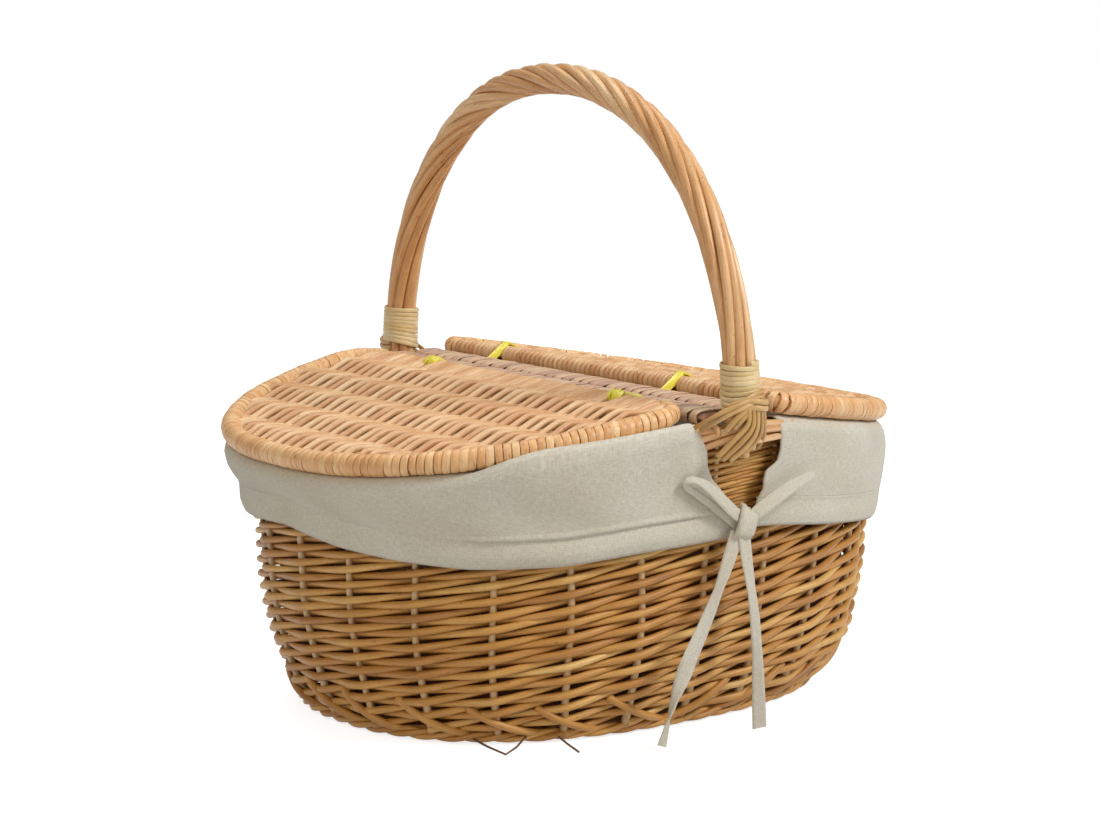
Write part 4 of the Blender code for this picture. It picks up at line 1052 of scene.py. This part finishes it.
def flapGrid(turned):
    rng = np.random.RandomState(flap["seed"] + (10 if turned else 0))
    waves = [(rng.uniform(1.5, 9), rng.uniform(0, 2 * pi), rng.uniform(-4, 4),
              rng.uniform(0.2, 0.6) * mm) for _ in range(flap["waves"])]
    drop, hemTable = flap["drop"], flap["rightHem" if turned else "leftHem"]
    casing, lipOut = flap["casing"] / mm, flap["seam"][-1][1]
    # each row's height over the hem, how far out it lies, and its share of the plain fall
    levels = [(up * mm, flap["casingSwell"] * mm * sin(pi * up / casing), 0.5)
              for up in np.linspace(0, flap["casingTop"], flap["casingRows"])]
    levels += [(up * mm, out * mm, 1) for up, out in flap["seam"]]
    levels += [(up, lipOut * mm * (1 - up / drop) ** 1.5, 1)
               for up in np.linspace(flap["clothFrom"], drop, flap["rows"])]
    t = np.linspace(0, 1, flap["columns"])
    ends = np.sin(pi * t) ** 0.4
    rows = []
    for up, out, plain in levels:
        share = up / drop
        tall = heightAt(up, table(hemTable, 0) * mm, body["top"] - body["border"] / 2) / mm
        first = frontRun(table(flap["leftEdge"], tall) * mm)
        last = frontRun(table(flap["rightEdge"], tall) * mm) - fineRun[-1] / 2
        run = np.linspace(first, last, flap["columns"])
        angle = angleBy(run)
        flat, middle = borderMiddle(angle)
        hem = table(hemTable, run / mm) * mm
        # the wall behind the right flap, which is made at the left and then turned
        behind = angle - pi * np.sign(angle - pi / 2) if turned else angle
        puff = 0 if turned else puffAt(*flat.T)
        lift = table(flap["puffLift"], flat[:, 0] / mm) * mm * puff
        seamed = 0 if turned else np.interp(run, flap["seamRun"], (0, 1))
        low = wallFace(hem, behind) + flap["hemEase"]
        outset = low + (flap["rimEase"] - low) * table(flap["stand"], share)
        outset = outset + out * seamed + (1 - seamed) * 0.8 * mm * sin(pi * share) * plain
        outset = outset + flap["puffOut"] * puff * max((share - 0.3) / 0.7, 0) ** 1.5
        fold = sum(size * np.sin(2 * pi * count * t + phase + tilt * share)
                   for count, phase, tilt, size in waves)
        outset = outset + np.maximum(1.1 * mm + fold, 0) * sin(pi * min(share, 0.98)) ** 0.6 * ends
        z = heightAt(up, hem, middle) + 0.35 * lift * share ** 3
        # no cloth goes inside the wall's own face
        outset = np.maximum(outset, wallFace(z, behind) + flap["wallEase"])
        rows.append(np.column_stack([oval(angle, outset), z]))
    # over the border and down its inner side, with the billow's ridge before it
    radius = body["border"] / 2 + flap["overEase"]
    for over in flap["over"]:
        out = -body["border"] / 2 + radius * cos(pi * over) + 1.2 * mm * (1 - over)
        out = out + flap["puffOut"] * puff * table(flap["back"], over)
        z = middle + radius * sin(pi * over) + table(flap["ridge"], over) * lift
        rows.append(np.column_stack([oval(angle, out), z]))
    grid = np.array(rows)[:, ::-1]
    return halfTurn(grid) if turned else grid


for sideName, turned in bothSides:
    piece, _ = clothPiece("linen_flap_" + sideName, flapGrid(turned), flap["thickness"], False)
    finishPiece(piece, "basket", "linen", "liner_flap_" + sideName)


# Bag of the liner, gathered a little where it turns over the base

bag = {"thickness": 0.9 * mm, "columns": 420, "rows": 26, "floor": 10.2 * mm,
       "insets": (110, 80, 62, 56), "low": 14 * mm, "depth": -14.6 * mm, "fold": 0.8 * mm,
       "rimDepth": -12.6 * mm}


def bagGrid():
    u = onceRound(bag["columns"])
    angle = angleAt(u)
    middle = rimBy(angle) - body["border"] / 2
    insets = [body["halfWidth"] - 5 * mm] + [inset * mm for inset in bag["insets"]]
    rows = [np.column_stack([oval(angle, -inset), np.full(bag["columns"], bag["floor"])])
            for inset in insets]
    atRim = np.column_stack([oval(angle, bag["rimDepth"]), middle])
    for share in np.linspace(0, 1, bag["rows"]):
        z = bag["low"] + (middle - 16 * mm) * share
        fold = bag["fold"] * (np.sin(u * 5.5 + 2 * np.sin(share * 3))
                              + np.sin(u * 9.1 + 4 * share))
        depth = bag["depth"] + (0.6 * fold - 1.2 * mm) * (1 - share)
        point, _ = wallPoint(u, np.minimum(z, middle), depth)
        rows.append(point * (1 - share ** 4) + atRim * share ** 4)
    return np.array(rows)[:, ::-1]


piece, solid = clothPiece("linen_bag", bagGrid(), bag["thickness"], True)
# the shell made by the thickness takes the linen painted dark brown as shade, for the gaps between
# the wall's rods
piece.data.materials.append(paintedShadeLinen)
solid.material_offset = 1
solid.material_offset_rim = 0
finishPiece(piece, "basket", "linen", "liner_bag")


# Ribbons: folded linen tape tied in a bow under each handle foot

ribbon = {
    "width": 11 * mm, "y": -155.5, "steps": 60, "sharp": radians(70),
    # section: two layers with rounded edges and a shallow dip along the middle
    "across": (-1, -0.93, -0.5, 0, 0.5, 0.93, 1, 0.93, 0.5, 0, -0.5, -0.93),
    "deep": (0, 0.75, 1, 0.7, 1, 0.75, 0, -0.75, -1, -0.8, -1, -0.75),
}
# points are x, y from the ribbon's own y, and z, in mm; widths in mm and twists in radians go by
# the share of the length; a twist turns the flat side about the tape's own line
bowParts = {
    "knot": {"points": ((10.6, 1, 127.6), (9.2, -3.6, 125.4), (7, -5, 119.8), (5.4, -3.8, 114),
        (5, 0.6, 111.6)), "widths": ((0, 10), (0.3, 12.4), (0.7, 12.4), (1, 10)), "twist": ((0, 0),
        (1, 0)), "thickness": 3.4},
    "loop_left": {"points": ((6, -1.5, 123.3), (0.3, -3, 126), (-11.7, -4.3, 135.4),
        (-22.2, -5.3, 143.6), (-30.8, -5.8, 148), (-35.5, -5.1, 148.4), (-36, -3.9, 146),
        (-33.2, -2.9, 143.2), (-27, -2.1, 139.6), (-17.4, -1.3, 133.6), (-7.2, -0.3, 126.4),
        (2.8, 0.3, 119.2)), "widths": ((0, 7), (0.15, 7.6), (0.36, 6.4), (0.46, 4.2), (0.54, 3.8),
        (0.7, 4.6), (1, 4.6)), "twist": ((0, 0.1), (0.35, 0.3), (0.5, 0.7), (0.65, 0.4), (1, 0.2)),
        "thickness": 1.5},
    "loop_right": {"points": ((10.8, -1, 120.5), (15.9, -3, 124.9), (23.8, -4.3, 129.8),
        (37.8, -5, 136.8), (50.1, -4.5, 140.8), (56.9, -3.5, 141.9)), "widths": ((0, 7.5), (0.2, 9),
        (0.6, 7.8), (0.9, 5.6), (1, 3.6)), "twist": ((0, -0.1), (0.5, -0.3), (1, -0.2)),
        "thickness": 1.9},
    "tail_left": {"points": ((2.5, -1.5, 115.4), (-2.9, -1, 100.3), (-10.4, -0.5, 83.1),
        (-20.1, 0.5, 63.2), (-29.7, 1.5, 44.9), (-38.5, 2.5, 25), (-46.4, 3, 1.6)),
        "widths": ((0, 8.5), (0.11, 8), (0.27, 5.2), (0.45, 8.4), (0.62, 11), (0.8, 4.6),
        (0.9, 6.5), (1, 7.4)), "twist": ((0, 0.1), (0.27, 0.75), (0.42, 0.2), (0.62, 0),
        (0.8, 1.25), (0.9, 2.6), (1, 3.0)), "thickness": 1.2},
    "tail_right": {"points": ((6.7, -2.5, 113.9), (8.6, -3, 99.2), (14.5, -2.5, 70.3),
        (17.9, -1.5, 47.1), (19.2, -1, 34.3), (20.7, -0.5, 12.3), (21.6, 0, 2)),
        "widths": ((0, 8.5), (0.12, 9), (0.36, 7.4), (0.6, 6), (0.87, 8), (1, 9)), "twist": ((0, 0),
        (0.3, -0.3), (0.6, 0.4), (0.8, 0.5), (1, 0.2)), "thickness": 1.2},
}


def tape(name, part, turned):
    path = smooth(np.add(part["points"], (0, ribbon["y"], 0)), ribbon["steps"]) * mm
    share = np.linspace(0, 1, ribbon["steps"])
    tangent = unit(np.gradient(path, axis=0))
    facing = np.array([0, -1.0, 0])
    normal = unit(facing - tangent * (tangent @ facing)[:, None])
    turn = table(part["twist"], share)[:, None]
    n = normal * np.cos(turn) + np.cross(tangent, normal) * np.sin(turn)
    b = np.cross(tangent, n)
    half = table(part["widths"], share)[:, None, None] * mm / 2
    across = np.array(ribbon["across"])
    deep = np.array(ribbon["deep"])[:, None] * part["thickness"] * mm / 2
    ring = path[:, None] + across[:, None] * half * b[:, None] + deep * n[:, None]
    if turned:
        ring = halfTurn(ring)
    index = np.arange(ring[..., 0].size).reshape(ring.shape[:2])
    piece = newObject(name, ring.reshape(-1, 3), gridFaces(index, capped=True), washedLinen)
    run = runAlong(path)
    places = np.broadcast_arrays(across * ribbon["width"] / 2, run[:, None], 0.0)
    addMap(piece, "clothMap", np.stack(places, -1))
    piece.data.set_sharp_from_angle(angle=ribbon["sharp"])
    return piece, float(run[-1])


def bow(tag, turned):
    for partName, part in bowParts.items():
        piece, length = tape("linen_%s_%s" % (partName, tag), part, turned)
        kind, _, hand = partName.partition("_")
        finishPiece(piece, "basket", "linen", "_".join(["ribbon", kind, tag] + [hand] * (hand > "")))


bow("front", False)
bow("back", True)
print("liner and ribbons made")


# Stage: pale floor, soft light, white beyond

stage = {"floor": 14, "paper": (0.6, 0.6, 0.6, 1), "glow": 0.79, "sky": (0.96, 0.98, 1, 1),
         "skyStrength": 0.36, "white": (1, 1, 1, 1)}


def whiteFloor():
    bpy.ops.mesh.primitive_plane_add(size=stage["floor"])
    floor = bpy.context.object
    floor.name = "floor"
    material, tree, _ = newMaterial("white_paper_sweep")
    tree.nodes.clear()
    paper = addNode(tree, "BsdfDiffuse", {"Color": stage["paper"]})
    # the paper glows only where the camera sees it, straight, in a shine or through a gap
    path = addNode(tree, "LightPath")
    direct = addNode(tree, "Math", {0: path.outputs["Is Camera Ray"],
                                    1: path.outputs["Is Glossy Ray"]}, operation="ADD")
    seen = addNode(tree, "Math", {0: direct, 1: path.outputs["Is Transmission Ray"]},
                   operation="ADD", use_clamp=True)
    strength = addNode(tree, "Math", {0: seen, 1: stage["glow"]}, operation="MULTIPLY")
    glow = addNode(tree, "Emission", {"Color": stage["white"], "Strength": strength})
    both = addNode(tree, "AddShader", {0: paper, 1: glow})
    addNode(tree, "OutputMaterial", {"Surface": both})
    floor.data.materials.append(material)


def studioWorld():
    world = bpy.data.worlds.new("studio")
    bpy.context.scene.world = world
    world.use_nodes = True
    tree = world.node_tree
    tree.nodes.clear()
    path = addNode(tree, "LightPath")
    soft = addNode(tree, "Background", {"Color": stage["sky"], "Strength": stage["skyStrength"]})
    white = addNode(tree, "Background", {"Color": stage["white"], "Strength": 1.0})
    mixed = addNode(tree, "MixShader", {0: path.outputs["Is Camera Ray"], 1: soft, 2: white})
    addNode(tree, "OutputWorld", {"Surface": mixed})


lamps = {
    "key": {"at": (0.9, -1.7, 1.7), "aim": (0, 0, 0.12), "size": 0.7, "power": 40,
            "colour": "#fafbff"},
    "fill": {"at": (-1.7, -1.1, 1.1), "aim": (0, 0, 0.12), "size": 1.1, "power": 10,
             "colour": "#fff3dc"},
    "top": {"at": (0.0, 0.5, 2.2), "aim": (0, 0, 0.15), "size": 1.1, "power": 18,
            "colour": "#ffffff"},
}


def placeLamps():
    for name, lamp in lamps.items():
        data = bpy.data.lights.new(name, "AREA")
        data.size = lamp["size"]
        data.energy = lamp["power"]
        data.color = linear(lamp["colour"])
        light = bpy.data.objects.new(name, data)
        bpy.context.scene.collection.objects.link(light)
        back = unit(np.subtract(lamp["at"], lamp["aim"]))
        right = unit(np.cross((0, 0, 1), back))
        turn = np.column_stack([right, np.cross(back, right), back])
        light.matrix_world = Matrix.Translation(lamp["at"]) @ Matrix(turn.tolist()).to_4x4()


whiteFloor()
studioWorld()
placeLamps()
bpy.context.scene.view_settings.view_transform = "Standard"

# pieces of the frame that stay in the picture as they are
for name, material in (("handle_bow", ropedWillow), ("bar_stick_left", brownSkein),
                       ("bar_stick_right", brownSkein)):
    frame["nodes"][name].data.materials.clear()
    frame["nodes"][name].data.materials.append(material)
